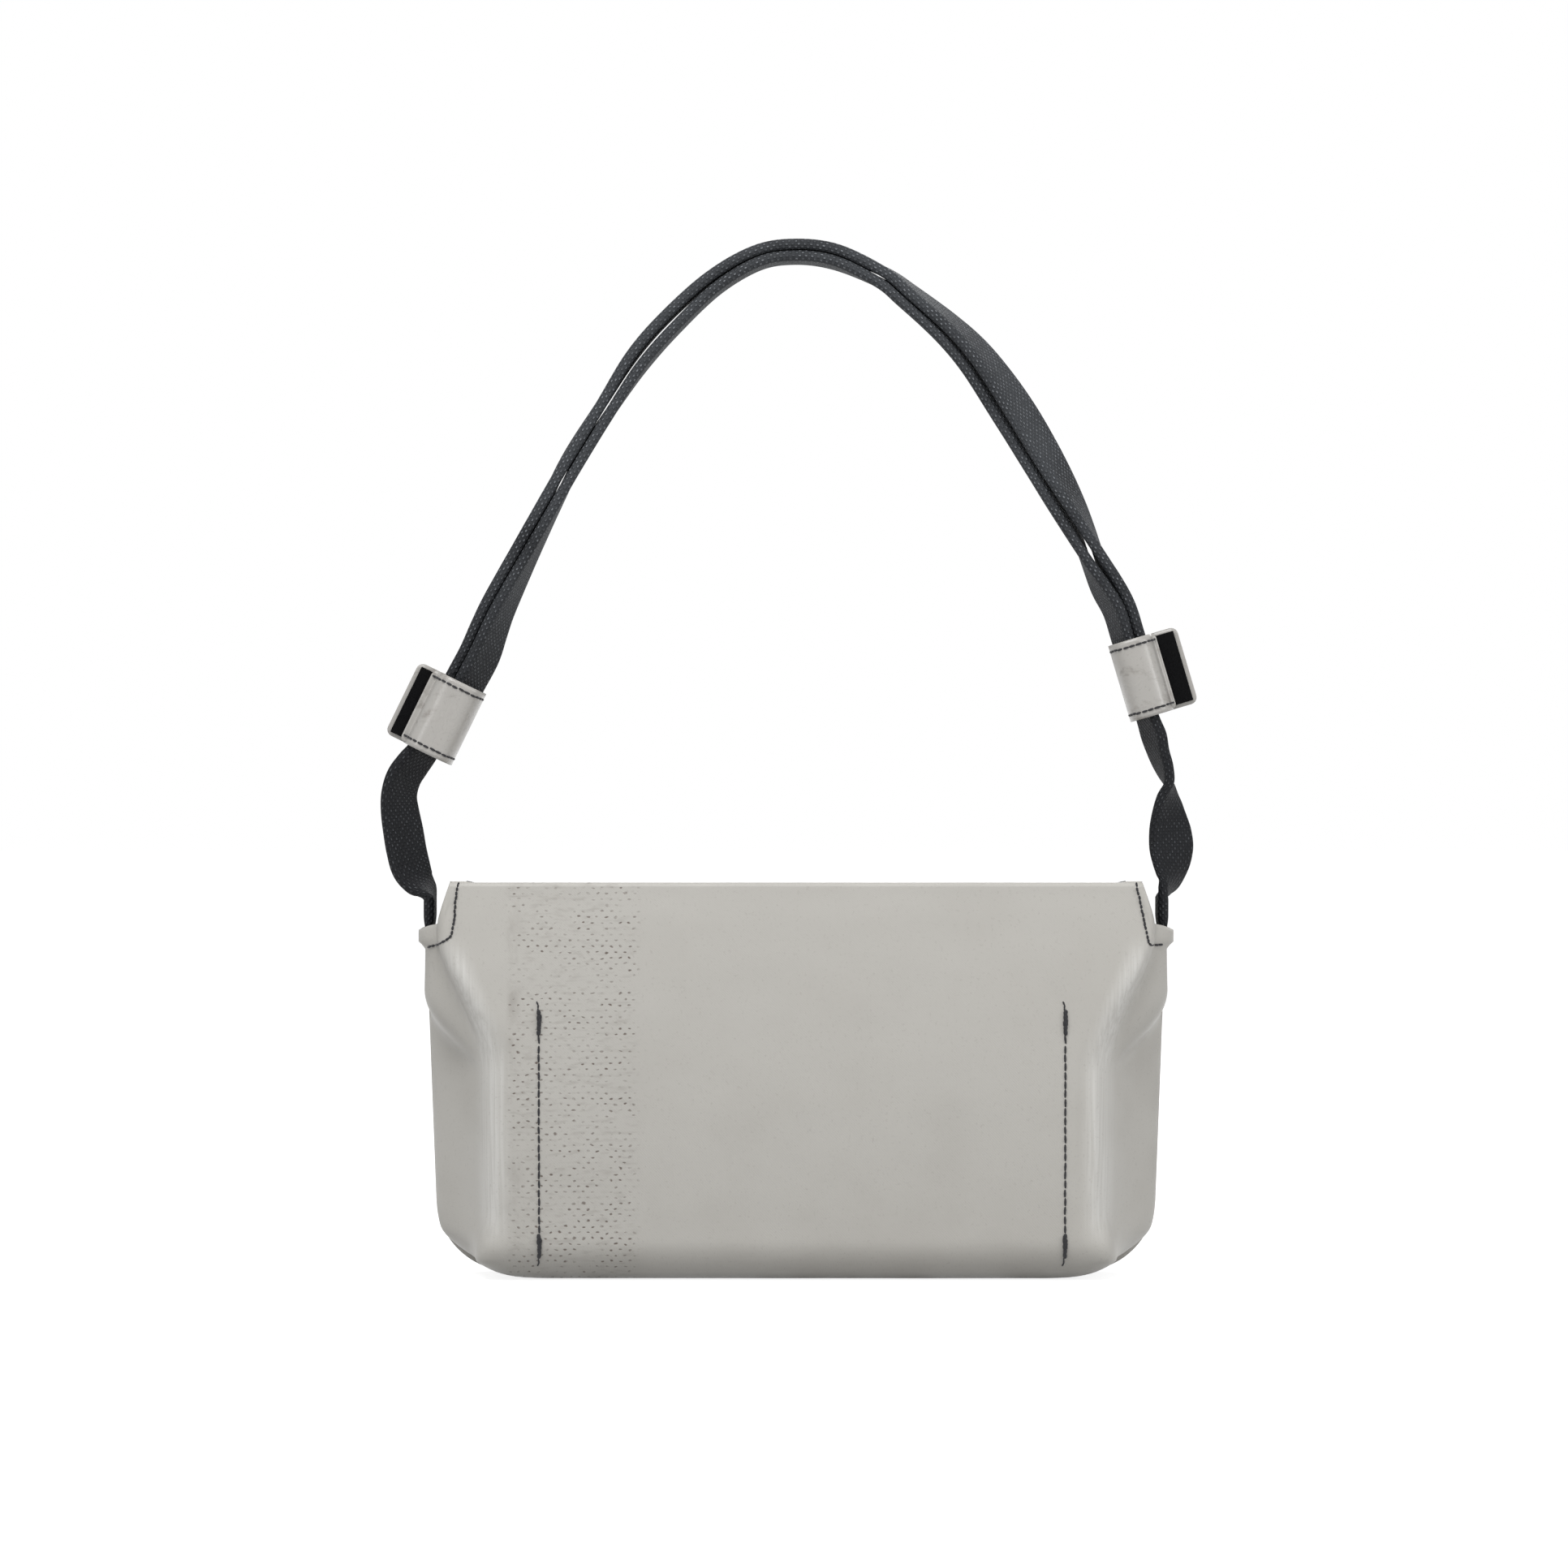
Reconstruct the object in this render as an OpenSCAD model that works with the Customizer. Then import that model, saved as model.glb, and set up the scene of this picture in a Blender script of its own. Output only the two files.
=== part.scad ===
// Trapeze shoulder bag of used truck tarpaulin, with a webbing strap and two strap cuffs.
// The origin is on the ground under the middle of the bag. The back faces -Y, the flap hangs at +Y.

/* [Body] */
// Width across the ears at the mouth
top_w = 311; // [260:1:360]
// Width of the front panel just above the bottom corners
bottom_w = 300; // [250:1:350]
// Height of the front panel and the gussets
mouth_h = 145.5; // [115:0.5:190]
// Height of the fold where the back turns into the flap
fold_h = 164.2; // [135:0.1:220]
// Depth from the back at the fold to the front seam
depth = 50; // [36:1:80]
// Radius of the front panel's bottom corners
corner_r = 30; // [14:1:45]
// Radius where the back turns under the bag
under_r = 10; // [5:1:16]
// Width of the back where it meets the gussets
back_w = 250; // [210:1:280]
// Thickness of the tarpaulin
tarp_t = 1; // [0.6:0.1:1.4]
// Width of the seam allowances and hems
seam_w = 7; // [5:0.5:10]
// How far the back bows out between its edges
back_bow = 5; // [0:0.5:9]
// How far the filled front panel stands out
front_crown = 6.8; // [2:0.2:10]

/* [Flap] */
// Width of the flap at the fold
flap_w = 287; // [230:1:300]
// Width of the flap at its lower edge
flap_end_w = 252; // [190:1:280]
// Height of the flap's lower edge above the ground
flap_low_h = 45; // [20:1:80]
// Radius of the flap's lower corners
flap_corner_r = 20; // [6:1:35]
// How far the flap drops from the fold to the front edge of the bag
flap_slope = 3; // [0:0.5:6]
// Radius of the bend at the front edge
flap_bend_r = 12; // [8:1:18]

/* [Closure] */
// Width of the hook and loop strips
strip_w = 25; // [16:1:40]
// Length of the loop strips on the front panel
loop_l = 60; // [40:1:75]
// Length of the hook strips inside the flap
hook_l = 45; // [25:1:60]
// Thickness of each half of the hook and loop closure
strip_t = 1.5; // [1:0.1:1.8]
// Distance between the middles of the two strips
strip_span = 120; // [80:1:150]
// Height of the middle of the strips
strip_h = 78; // [70:1:95]

/* [Inner pocket] */
// Width between the two pocket seams
pocket_w = 216; // [120:1:226]
// Height of the pocket's top edge
pocket_top = 114; // [80:1:130]
// Height of the pocket's folded bottom
pocket_low = 8; // [6:1:30]
// Thickness of the pocket cloth
pocket_t = 0.8; // [0.4:0.1:1.2]
// How far the pocket sits to the right of the middle
pocket_shift = 2.4; // [-4:0.2:4]

/* [Thread] */
// Distance from one stitch to the next
stitch_pitch = 3.7; // [3:0.1:6]
// Length of the visible part of a stitch
stitch_l = 2.6; // [1.6:0.1:2.8]
// Thickness of the thread
thread_t = 0.5; // [0.3:0.05:0.8]
// Length of the dense stitching at the ends of the pocket seams
bartack_l = 12; // [6:0.5:18]

/* [Strap] */
// Width of the webbing
strap_w = 20.5; // [15:0.5:24]
// Thickness of one strand of webbing
strap_t = 4.5; // [2:0.1:5]
// Rise of the strap's middle above its pivots
strap_rise = 269.3; // [220:0.1:340]
// Thickness of the strap's end where the box stitches press it
sewn_t = 3.6; // [2:0.1:4]
// Depth of the strap's sewn end below the mouth
tail_l = 26; // [20:1:60]

/* [Cuffs] */
// Length of a cuff along the strap
cuff_l = 33; // [22:1:36]
// Inner width of the left cuff's tube
left_cuff_w = 19.4; // [19:0.1:24]
// Inner width of the right cuff's tube
right_cuff_w = 16.4; // [16.2:0.1:22]
// Inner depth of both cuffs' tubes
cuff_deep = 24.2; // [24:0.1:28]
// How far the left cover's lip stands past its tube
left_lip = 2.5; // [1.5:0.1:6]
// How far the right cover's lip stands past its tube
right_lip = 1.5; // [1.5:0.1:6]
// How far the left cuff's back tab stands past its cover
left_tab = 7; // [4:0.5:14]
// How far the right cuff's back tab stands past its cover
right_tab = 9.5; // [4:0.5:14]
// Thickness of each half of a cuff's closure
tape_t = 1.1; // [0.8:0.1:1.3]

/* [Hidden] */

// gap between two sheets that lie on each other, and gap between pieces that move apart
lay = 0.2;
run = 0.3;
// how far thread stands out of the sheet
proud = 0.35;
tarp = [0.74, 0.73, 0.70];
thread = [0.10, 0.10, 0.11];
webbing = [0.16, 0.18, 0.22];
velvet = [0.07, 0.07, 0.08];

// places that follow from the sizes
front_y = 22;
back_y = front_y - depth;
panel_y = front_y + lay + tarp_t;
hinge_y = back_y + tarp_t / 2;
back_top = fold_h - tarp_t / 2 - run;
tail_x = top_w / 2 - 3.2;
puff_x = tail_x + strap_t / 2 + 0.9 + tarp_t;
pivot_h = mouth_h + strap_w / 2 + 1.25;
tail_top = pivot_h - strap_w / 2 - run;
strip_y = panel_y + front_crown + lay;
hook_y = strip_y + strip_t + run;
flap_y = hook_y + strip_t + lay + tarp_t / 2;

function mix(a, b, f) = a + (b - a) * f;
function ease(f) = let (c = max(0, min(1, f))) c * c * (3 - 2 * c);
// how far a rounded edge of radius r has drawn in at height z above its tangent
function drawn_in(z, r) = z < r ? r - sqrt(r * r - (r - z) * (r - z)) : 0;

// A closed sheet between two grids of points. Seen from its outer side the rows go up
// and the columns go right.
function outer_tris(a, b, c, d) = [[a, b, c], [a, c, d]];
function at(r, c, cols) = r * cols + c;
function skin_faces(rows, cols, low_edge) = let (n = rows * cols) concat(
    [for (r = [0:rows - 2], c = [0:cols - 2])
        each outer_tris(at(r, c, cols), at(r + 1, c, cols), at(r + 1, c + 1, cols), at(r, c + 1, cols))],
    [for (r = [0:rows - 2], c = [0:cols - 2])
        each outer_tris(n + at(r, c, cols), n + at(r, c + 1, cols),
                        n + at(r + 1, c + 1, cols), n + at(r + 1, c, cols))],
    [for (c = low_edge)
        each outer_tris(c, c + 1, n + c + 1, n + c)],
    [for (c = [0:cols - 2]) let (r = rows - 1)
        each outer_tris(at(r, c + 1, cols), at(r, c, cols), n + at(r, c, cols), n + at(r, c + 1, cols))],
    [for (r = [0:rows - 2])
        each outer_tris(at(r + 1, 0, cols), at(r, 0, cols), n + at(r, 0, cols), n + at(r + 1, 0, cols))],
    [for (r = [0:rows - 2]) let (c = cols - 1)
        each outer_tris(at(r, c, cols), at(r + 1, c, cols), n + at(r + 1, c, cols), n + at(r, c, cols))]
);
function flat_list(grid) = [for (row = grid) each row];

module sheet(outer, inner) {
    rows = len(outer);
    cols = len(outer[0]);
    polyhedron(concat(flat_list(outer), flat_list(inner)),
               skin_faces(rows, cols, [0:cols - 2]), convexity = 8);
}

// A thread stitch that passes through a stack of sheets
module stitch(through, along = stitch_l) {
    cube([thread_t, along, through + 2 * proud], center = true);
}

// BODY SHELL: half widths and back line at height z
function seam_x(z) = mix(bottom_w, top_w, min(1, z / mouth_h)) / 2 - drawn_in(z, corner_r);
flare_from = mouth_h - 42;
// the corners stand out by this much in all at the foot of the bag
foot_w = 18;
function flare(z) = ease((z - flare_from) / 34);
function back_x(z) = min(mix(back_w + foot_w * ease(1 - z / corner_r), flap_w + 9, flare(z)) / 2,
                         seam_x(z) - 8);
function back_r(z) = mix(12, 4.5, flare(z));
function back_line(z) = back_y - back_bow * sin(180 * z / fold_h) + drawn_in(z, under_r);
// the gusset stands out round the sewn strap end
function puff(y, z) = let (root = seam_x(z) - seam_w, f = (root - back_x(z)) * (y - back_y) / depth)
    max(0, puff_x - back_x(z) - f) * ease((z - mouth_h + tail_l + 22) / 22) * max(0, 1 - pow(abs(y) / 21, 4));

// half of the outline at height z, from the front seam round to the middle of the back
gusset_n = 8;
bend_n = 4;
flat_n = 6;
half_n = 2 + gusset_n + bend_n + flat_n;
function outline_point(k, z) =
    let (root = [seam_x(z) - seam_w, front_y - tarp_t],
         corner = [back_x(z), back_line(z)],
         r = back_r(z),
         gusset = corner - root,
         edge = corner - gusset * r / norm(gusset),
         flat_x = corner[0] - r)
    k == 0 ? [seam_x(z), front_y - tarp_t]
    : k == 1 ? root
    : k < 2 + gusset_n ?
        let (p = mix(root, edge, (k - 1) / gusset_n)) [p[0] + puff(p[1], z), p[1]]
    : k < 2 + gusset_n + bend_n ?
        let (f = (k - 1 - gusset_n) / bend_n)
        mix(mix(edge, corner, f), mix(corner, [flat_x, corner[1]], f), f)
    : let (f = (k - 1 - gusset_n - bend_n) / flat_n) [flat_x * (1 - f), corner[1]];
function outline_top(k) = k < 1 + gusset_n + bend_n ? mouth_h : back_top;
// the same on the inner side, one sheet thickness in
function inner_point(k, z) =
    k == 0 ? [seam_x(z), front_y]
    : k == 1 ?
        let (root = outline_point(1, z), next = outline_point(2, z),
             along = (next - root) / norm(next - root),
             start = root + tarp_t * [along[1], -along[0]])
        start + along * (front_y - start[1]) / along[1]
    : let (a = outline_point(k - 1, z), b = outline_point(min(half_n - 1, k + 1), z),
           along = k == half_n - 1 ? [-1, 0] : (b - a) / norm(b - a))
        outline_point(k, z) + tarp_t * [along[1], -along[0]];

level = [0, 0.008, 0.02, 0.04, 0.07, 0.11, 0.16, 0.24, 0.34, 0.46, 0.58, 0.68, 0.76, 0.84, 0.92, 1];
function shell_row(f, inside) = [
    for (s = [-1, 1])
        for (i = [0:half_n - (s > 0 ? 2 : 1)])
            let (k = s < 0 ? i : half_n - 2 - i,
                 z = outline_top(k) * f,
                 p = inside ? inner_point(k, z) : outline_point(k, z))
            [s * p[0], p[1], inside ? mix(tarp_t, outline_top(k), f) : z]
];

module back_panel() {
    outer = [for (f = level) shell_row(f, false)];
    inner = [for (f = level) shell_row(f, true)];
    rows = len(outer);
    cols = len(outer[0]);
    n = rows * cols;
    color(tarp)
    polyhedron(concat(flat_list(outer), flat_list(inner)), concat(
        skin_faces(rows, cols, [0, cols - 2]),
        [[for (c = [1:cols - 2]) c]],
        [[for (c = [cols - 2:-1:1]) n + c]],
        outer_tris(1, cols - 2, n + cols - 2, n + 1)
    ), convexity = 8);
}

// FRONT PANEL: flat along its seams, crowned over its middle
panel_low = tarp_t + lay;
function crown(x, z) =
    let (u = min(1, abs(x) / (seam_x(z) - seam_w)), w = abs(2 * (z - panel_low) / (mouth_h - panel_low) - 1))
    front_crown * (1 - pow(u, 4)) * (1 - pow(min(1, w), 4));
panel_step = [for (c = [0:24]) 1 - c / 12];
panel_level = [0.01, 0.025, 0.05, 0.08, 0.13, 0.2, 0.3, 0.42, 0.54, 0.66, 0.77, 0.86, 0.94, 1];

module front_panel() {
    lip_x = seam_x(0) - seam_w - 5;
    outer = concat(
        [[for (u = panel_step) [u * (lip_x - 5), front_y - seam_w, panel_low]]],
        [[for (u = panel_step) [u * (lip_x + 5), panel_y, panel_low]]],
        [for (f = panel_level) let (z = mix(panel_low, mouth_h, f))
            [for (u = panel_step) let (x = u * seam_x(z)) [x, panel_y + crown(x, z), z]]]
    );
    inner = concat(
        [[for (u = panel_step) [u * (lip_x - 5), front_y - seam_w, panel_low + tarp_t]]],
        [[for (u = panel_step) [u * (lip_x + 5), front_y + lay, panel_low + tarp_t]]],
        [for (f = panel_level)
            let (z = mix(panel_low, mouth_h, f), zi = mix(panel_low + 1.4 * tarp_t, mouth_h, f))
            [for (u = panel_step) let (x = u * seam_x(z)) [x, front_y + lay + crown(x, z), zi]]]
    );
    color(tarp) sheet(outer, inner);
}

// FLAP: a path in Y and Z with a half width at each step
bend_top = fold_h - flap_slope;
top_run = flap_y - flap_bend_r - hinge_y;
drop_top = bend_top - flap_bend_r;
function flap_at(f) =
    f < 1 ? [hinge_y + top_run * f, fold_h - flap_slope * f * f, atan(-2 * flap_slope * f / top_run)]
    : f < 2 ? let (a = 90 * (f - 1))
        [flap_y - flap_bend_r + flap_bend_r * sin(a), drop_top + flap_bend_r * cos(a), -a]
    : [flap_y, mix(drop_top, flap_low_h, f - 2), -90];
function flap_x(f) =
    mix(flap_w, flap_end_w, f < 2 ? 0.5 * f / 2 : 0.5 + 0.5 * (f - 2)) / 2
    - (f > 2 ? drawn_in((3 - f) * (drop_top - flap_low_h), flap_corner_r) : 0);
flap_step = [0, 0.2, 0.4, 0.6, 0.8, 0.99, 1.2, 1.4, 1.6, 1.8, 2, 2.2, 2.4, 2.6, 2.75, 2.85, 2.9, 2.94, 2.97, 2.99, 3];
function flap_side(s) = [
    for (f = [for (i = [len(flap_step) - 1:-1:0]) flap_step[i]])
        let (p = flap_at(f), x = flap_x(f), ny = -sin(p[2]), nz = cos(p[2]))
        [for (u = panel_step) [u * x, p[0] + s * ny * tarp_t / 2, p[1] + s * nz * tarp_t / 2]]
];

module flap() {
    color(tarp) sheet(flap_side(1), flap_side(-1));
}

// Thread row round the flap, a hem's width inside its edge
module flap_hem_stitches() {
    top_n = floor(top_run / stitch_pitch);
    drop_n = floor((drop_top - flap_low_h - flap_corner_r) / stitch_pitch);
    low_n = floor((flap_end_w / 2 - flap_corner_r) / stitch_pitch);
    color(thread) {
        for (s = [-1, 1], f = concat([for (i = [1:top_n - 1]) i / top_n],
                                     [for (i = [0:drop_n]) 2 + i * stitch_pitch / (drop_top - flap_low_h)]))
            let (p = flap_at(f))
            translate([s * (flap_x(f) - seam_w), p[0], p[1]]) rotate([p[2], 0, 0]) stitch(tarp_t);
        for (i = [-low_n:low_n])
            translate([i * stitch_pitch, flap_y, flap_low_h + seam_w])
                rotate([90, 0, 0]) rotate([0, 0, 90]) stitch(tarp_t);
    }
}

// CLOSURE: loop strips on the front panel, hook strips inside the flap
module strips(y, length) {
    color(velvet)
    for (s = [-1, 1])
        translate([s * strip_span / 2, y + strip_t / 2, strip_h])
            rotate([90, 0, 0])
                linear_extrude(strip_t, center = true) square([strip_w, length], center = true);
}
module closure_loop_strips() { strips(strip_y, loop_l); }
module closure_hook_strips() { strips(hook_y, hook_l); }

// INNER POCKET: a folded sheet that follows the back, open at its top
pocket_gap = 0.6;
pocket_lay = 0.6;
pocket_half = pocket_w / 2 + 3;
function pocket_line(off) = [for (i = [0:12]) let (z = mix(pocket_low, pocket_top, i / 12))
    [back_line(z) + tarp_t + pocket_lay + off, z]];
function reversed(list) = [for (i = [len(list) - 1:-1:0]) list[i]];

module inner_pocket() {
    back_layer = pocket_line(0);
    front_layer = pocket_line(2 * pocket_t + pocket_gap);
    color([0.35, 0.36, 0.38])
    translate([pocket_shift - pocket_half, 0, 0]) rotate([90, 0, 90])
        linear_extrude(2 * pocket_half) polygon(concat(
            reversed(back_layer),
            front_layer,
            reversed([for (i = [1:12]) pocket_line(pocket_t + pocket_gap)[i]]),
            [for (i = [1:12]) pocket_line(pocket_t)[i]]
        ));
}

module pocket_seam(side) {
    x = pocket_shift + side * pocket_w / 2;
    stack = tarp_t + pocket_lay + 2 * pocket_t + pocket_gap;
    low = pocket_low + 1.5;
    high = pocket_top - 2;
    count = floor((high - low - 2 * bartack_l) / stitch_pitch);
    color(thread) {
        for (i = [0:count - 1]) let (z = mix(low + bartack_l, high - bartack_l, (i + 0.5) / count))
            translate([x, back_line(z) + stack / 2, z]) rotate([90, 0, 0]) stitch(stack);
        for (z = [low + bartack_l / 2, high - bartack_l / 2])
            translate([x, back_line(z) + stack / 2, z])
                rotate([90, 0, 0]) cube([3 * thread_t, bartack_l, stack + 2 * proud + 0.4], center = true);
    }
}
module pocket_seam_left() { pocket_seam(-1); }
module pocket_seam_right() { pocket_seam(1); }

// SEAMS between the front panel and the shell
module side_seam(side) {
    low = 12;
    count = floor((mouth_h - low - 3) / stitch_pitch);
    color(thread)
    for (i = [0:count]) let (z = low + i * stitch_pitch)
        translate([side * (seam_x(z) - seam_w / 2), front_y + lay / 2, z])
            rotate([90, 0, 0]) stitch(2 * tarp_t + lay);
}
module side_seam_left() { side_seam(-1); }
module side_seam_right() { side_seam(1); }

module bottom_seam() {
    count = floor((seam_x(0) - seam_w - 12) / stitch_pitch);
    color(thread)
    for (i = [-count:count])
        translate([i * stitch_pitch, front_y - seam_w / 2, tarp_t + (lay + tarp_t + proud) / 2 - tarp_t / 4])
            rotate([0, 0, 90])
                cube([thread_t, stitch_l, 1.5 * tarp_t + lay + proud], center = true);
}

module mouth_hem_stitches() {
    z = mouth_h - seam_w;
    count = floor((seam_x(z) - seam_w - 6) / stitch_pitch);
    color(thread)
    for (i = [-count:count]) let (x = i * stitch_pitch)
        translate([x, panel_y - tarp_t / 2 + crown(x, z), z])
            rotate([90, 0, 0]) rotate([0, 0, 90]) stitch(1.8 * tarp_t);
}

// STRAP ENDS: webbing, patch and box stitches inside each gusset
module strap_tail(side) {
    color(webbing)
    translate([side * tail_x - sewn_t / 2, -strap_w / 2, mouth_h - tail_l])
        cube([sewn_t, strap_w, tail_top - mouth_h + tail_l]);
}
module left_strap_tail() { strap_tail(-1); }
module right_strap_tail() { strap_tail(1); }

patch_w = strap_w + 8;
patch_h = tail_l - 4;
module tail_patch(side) {
    color(tarp)
    translate([side * (tail_x - sewn_t / 2 - lay - tarp_t / 2), 0, mouth_h - tail_l / 2 - 1])
        cube([tarp_t, patch_w, patch_h], center = true);
}
module left_tail_patch() { tail_patch(-1); }
module right_tail_patch() { tail_patch(1); }

// the thread runs from the patch, through the webbing, to the outside of the gusset
module tail_stitches(side) {
    inside = tail_x - sewn_t / 2 - lay - tarp_t - proud;
    outside = puff_x + proud;
    half_y = strap_w / 2 - 4;
    low = mouth_h - tail_l + 4;
    high = mouth_h - 6;
    across = floor(2 * half_y / stitch_pitch);
    up = floor((high - low) / stitch_pitch);
    color(thread)
    translate([side * (inside + outside) / 2, 0, 0]) {
        for (i = [0:across], z = [low, high])
            translate([0, mix(-half_y, half_y, i / across), z])
                cube([outside - inside, stitch_l * 0.8, thread_t], center = true);
        for (i = [1:up - 1], y = [-half_y, half_y])
            translate([0, y, mix(low, high, i / up)])
                cube([outside - inside, thread_t, stitch_l * 0.8], center = true);
    }
}
module left_tail_stitches() { tail_stitches(-1); }
module right_tail_stitches() { tail_stitches(1); }

// STRAP: one route from the left pivot over the arch to the right pivot.
// Each point is [x, height above the pivot, turn, spare gap between the strands]. Turn 0 is edge-on
// with the outer face out, and a positive turn shows the outer face to the back. The heights scale
// with the rise and x scales with the bag.
route_w = 152.3;
route_rise = 269.3;
left_cuff_at = [-145.9, 75];
left_lean = 28;
left_cuff_lean = 26;
left_turn = -30;
right_cuff_at = [143.6, 91.9];
right_lean = 17.5;
right_cuff_lean = 16.5;
right_turn = -15;
function on_cuff(at, lean, s) = [at[0] + s * sin(lean), at[1] + s * cos(lean)];
route = concat(
    [[-152.3, 0, 0, 0], [-153.8, 3.5, -14, 0], [-157.2, 7.5, -32, 0], [-160, 13, -44, 0],
     [-161.6, 20, -46, 0], [-162.7, 28, -46, 0], [-163.7, 36, -42, 0], [-163.8, 43, -37, 0],
     [-161.9, 49.4, -36, 0], [-158.2, 54.6, -34, 0]],
    [for (s = [-17, -6, 6, 18, 30]) concat(on_cuff(left_cuff_at, left_lean, s), [left_turn, 0])],
    [[-127.8, 112, -24, 0], [-123.5, 122.4, -18, 0], [-113.5, 142.7, -8, 0], [-103.2, 163, 0, 0],
     [-92.4, 183.2, 6, 0], [-79.6, 203.5, 4, 0], [-66.2, 223.8, 0, 0.5], [-52, 240, 0, 0.6],
     [-34, 256.5, 0, 0.2], [-16, 266.8, 0, 0], [0, 269.3, 0, 0],
     [17, 267, 0, 0], [36, 258.5, 6, 0], [46.5, 250.8, 12, 0], [62.9, 237.3, 20, 0.2],
     [75.8, 223.8, 28, 0.5], [90, 203.5, 36, 0.8], [102.3, 183.2, 34, 0.6], [113.3, 163, 22, 0.6],
     [123.3, 142.7, 2, 0.5], [129.3, 130.5, -12, 0.3]],
    [for (s = [30, 18, 6, -6, -17]) concat(on_cuff(right_cuff_at, -right_lean, s), [right_turn, 0])],
    [[151.1, 68.3, -19, 0], [152.9, 61.6, -14, 0], [155.2, 54.8, -9, 0], [157, 48, 4, 0],
     [156.5, 41.3, 26, 0], [156.3, 34.5, 44, 0], [156.4, 27.8, 60, 0], [156.6, 21, 64, 0],
     [156.5, 14.2, 48, 0], [155.6, 7.6, 26, 0], [153.6, 3.4, 10, 0], [152.3, 0, 0, 0]]
);
wide = tail_x / route_w;
high = strap_rise / route_rise;
function route_point(i) = let (p = route[i]) [p[0] * wide, p[1] * high, p[2], p[3]];
last = len(route) - 1;
left_cuff_first = 10;
right_cuff_last = last - 12;
// a smooth curve through the points, i is a whole number of points plus a share
function catmull(a, b, c, d, f) =
    b + 0.5 * f * (c - a + f * (2 * a - 5 * b + 4 * c - d + f * (3 * (b - c) + d - a)));
function route_at(i) =
    let (k = min(last - 1, max(0, floor(i))), f = i - k,
         b = route_point(k), c = route_point(k + 1),
         a = k == 0 ? [b[0], b[1] - 4, b[2], b[3]] : route_point(k - 1),
         d = k == last - 1 ? [c[0], c[1] - 4, c[2], c[3]] : route_point(k + 2))
    catmull(a, b, c, d, f);

// ring of the webbing's rounded section, at place i on the route
section_n = 5;
function ring(centre, wide_dir, thick_dir, half_w, half_t) = [
    for (s = [1, -1], j = [0:section_n - 1])
        let (a = -90 + 180 * j / (section_n - 1),
             w = s * (half_w - half_t + half_t * cos(a)),
             t = s * half_t * sin(a))
        centre + w * wide_dir + t * thick_dir
];
function strap_ring(i, off, half_w, half_t) =
    let (p = route_at(i),
         a = route_at(max(0, i - 0.05)), b = route_at(min(last, i + 0.05)),
         t = [b[0] - a[0], b[1] - a[1]] / norm([b[0] - a[0], b[1] - a[1]]),
         n = [-t[1], 0, t[0]],
         face = cos(p[2]) * n + sin(p[2]) * [0, -1, 0],
         broad = sin(p[2]) * n + cos(p[2]) * [0, 1, 0])
    ring([p[0], 0, p[1] + pivot_h] + off * face, broad, face, half_w, half_t);
// the round end about the pivot, s is -1 left and 1 right
function end_ring(s, drop) =
    let (half = sqrt(max(0, pow(strap_w / 2, 2) - drop * drop)))
    ring([s * tail_x, 0, pivot_h - drop], [0, 1, 0], [s, 0, 0],
         max(half, 1), min(strap_t / 2, max(half, 1) * 0.9));
end_drop = [strap_w / 2 - 0.15, strap_w / 2 - 0.8, strap_w / 2 - 2.4, strap_w / 2 - 5, strap_w / 4];

module tube(rings) {
    n = len(rings);
    m = len(rings[0]);
    polyhedron(flat_list(rings), concat(
        [[for (j = [0:m - 1]) j]],
        [[for (j = [m - 1:-1:0]) (n - 1) * m + j]],
        [for (i = [0:n - 2], j = [0:m - 1]) let (q = (j + 1) % m)
            each [[i * m + j, (i + 1) * m + j, (i + 1) * m + q], [i * m + j, (i + 1) * m + q, i * m + q]]]
    ), convexity = 10);
}

strand_off = strap_t / 2 + lay;
// a strand lies on the middle of the route at its pivot and moves out to its own side by the cuff
function left_off(i) = (strand_off + route_at(i)[3]) * ease(i / left_cuff_first);
function right_off(i) = -(strand_off + route_at(i)[3]) * ease((last - i) / (last - right_cuff_last));
strand_end = 0.4;

module left_strap() {
    stop = right_cuff_last - strand_end;
    steps = [for (i = [0:0.5:stop]) i];
    color(webbing) tube(concat(
        [for (d = end_drop) end_ring(-1, d)],
        [for (i = steps) strap_ring(i, left_off(i), strap_w / 2, strap_t / 2)]
    ));
}
module right_strap() {
    start = left_cuff_first + strand_end;
    steps = concat([start], [for (i = [left_cuff_first + 0.5:0.5:last]) i]);
    color(webbing * 0.9) tube(concat(
        [for (i = steps) strap_ring(i, right_off(i), strap_w / 2, strap_t / 2)],
        [for (k = [len(end_drop) - 1:-1:0]) end_ring(1, end_drop[k])]
    ));
}

// CUFFS: drawn across the strap, the fold towards +X and the cover towards -Y
cuff_square = 2.7;
cuff_fold_y = -1.5;
hook_gap = run / 2 + 0.05;
fin_y = hook_gap + tape_t + 0.1;

// point of the tube's outline at angle a, grow is the distance outside its inner wall. The outline
// is an ellipse with squarer shoulders.
function tube_point(width, grow, a) = let (e = 2 / cuff_square)
    [sign(cos(a)) * (width / 2 + grow) * pow(abs(cos(a)), e),
     sign(sin(a)) * (cuff_deep / 2 + grow) * pow(abs(sin(a)), e)];
// the angle at which the outline reaches y on the side towards +X
function tube_angle(grow, y) = asin(sign(y) * pow(abs(y) / (cuff_deep / 2 + grow), cuff_square / 2));
function tube_line(width, grow, from, to) =
    [for (i = [0:18]) tube_point(width, grow, mix(from, to, i / 18))];

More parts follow.
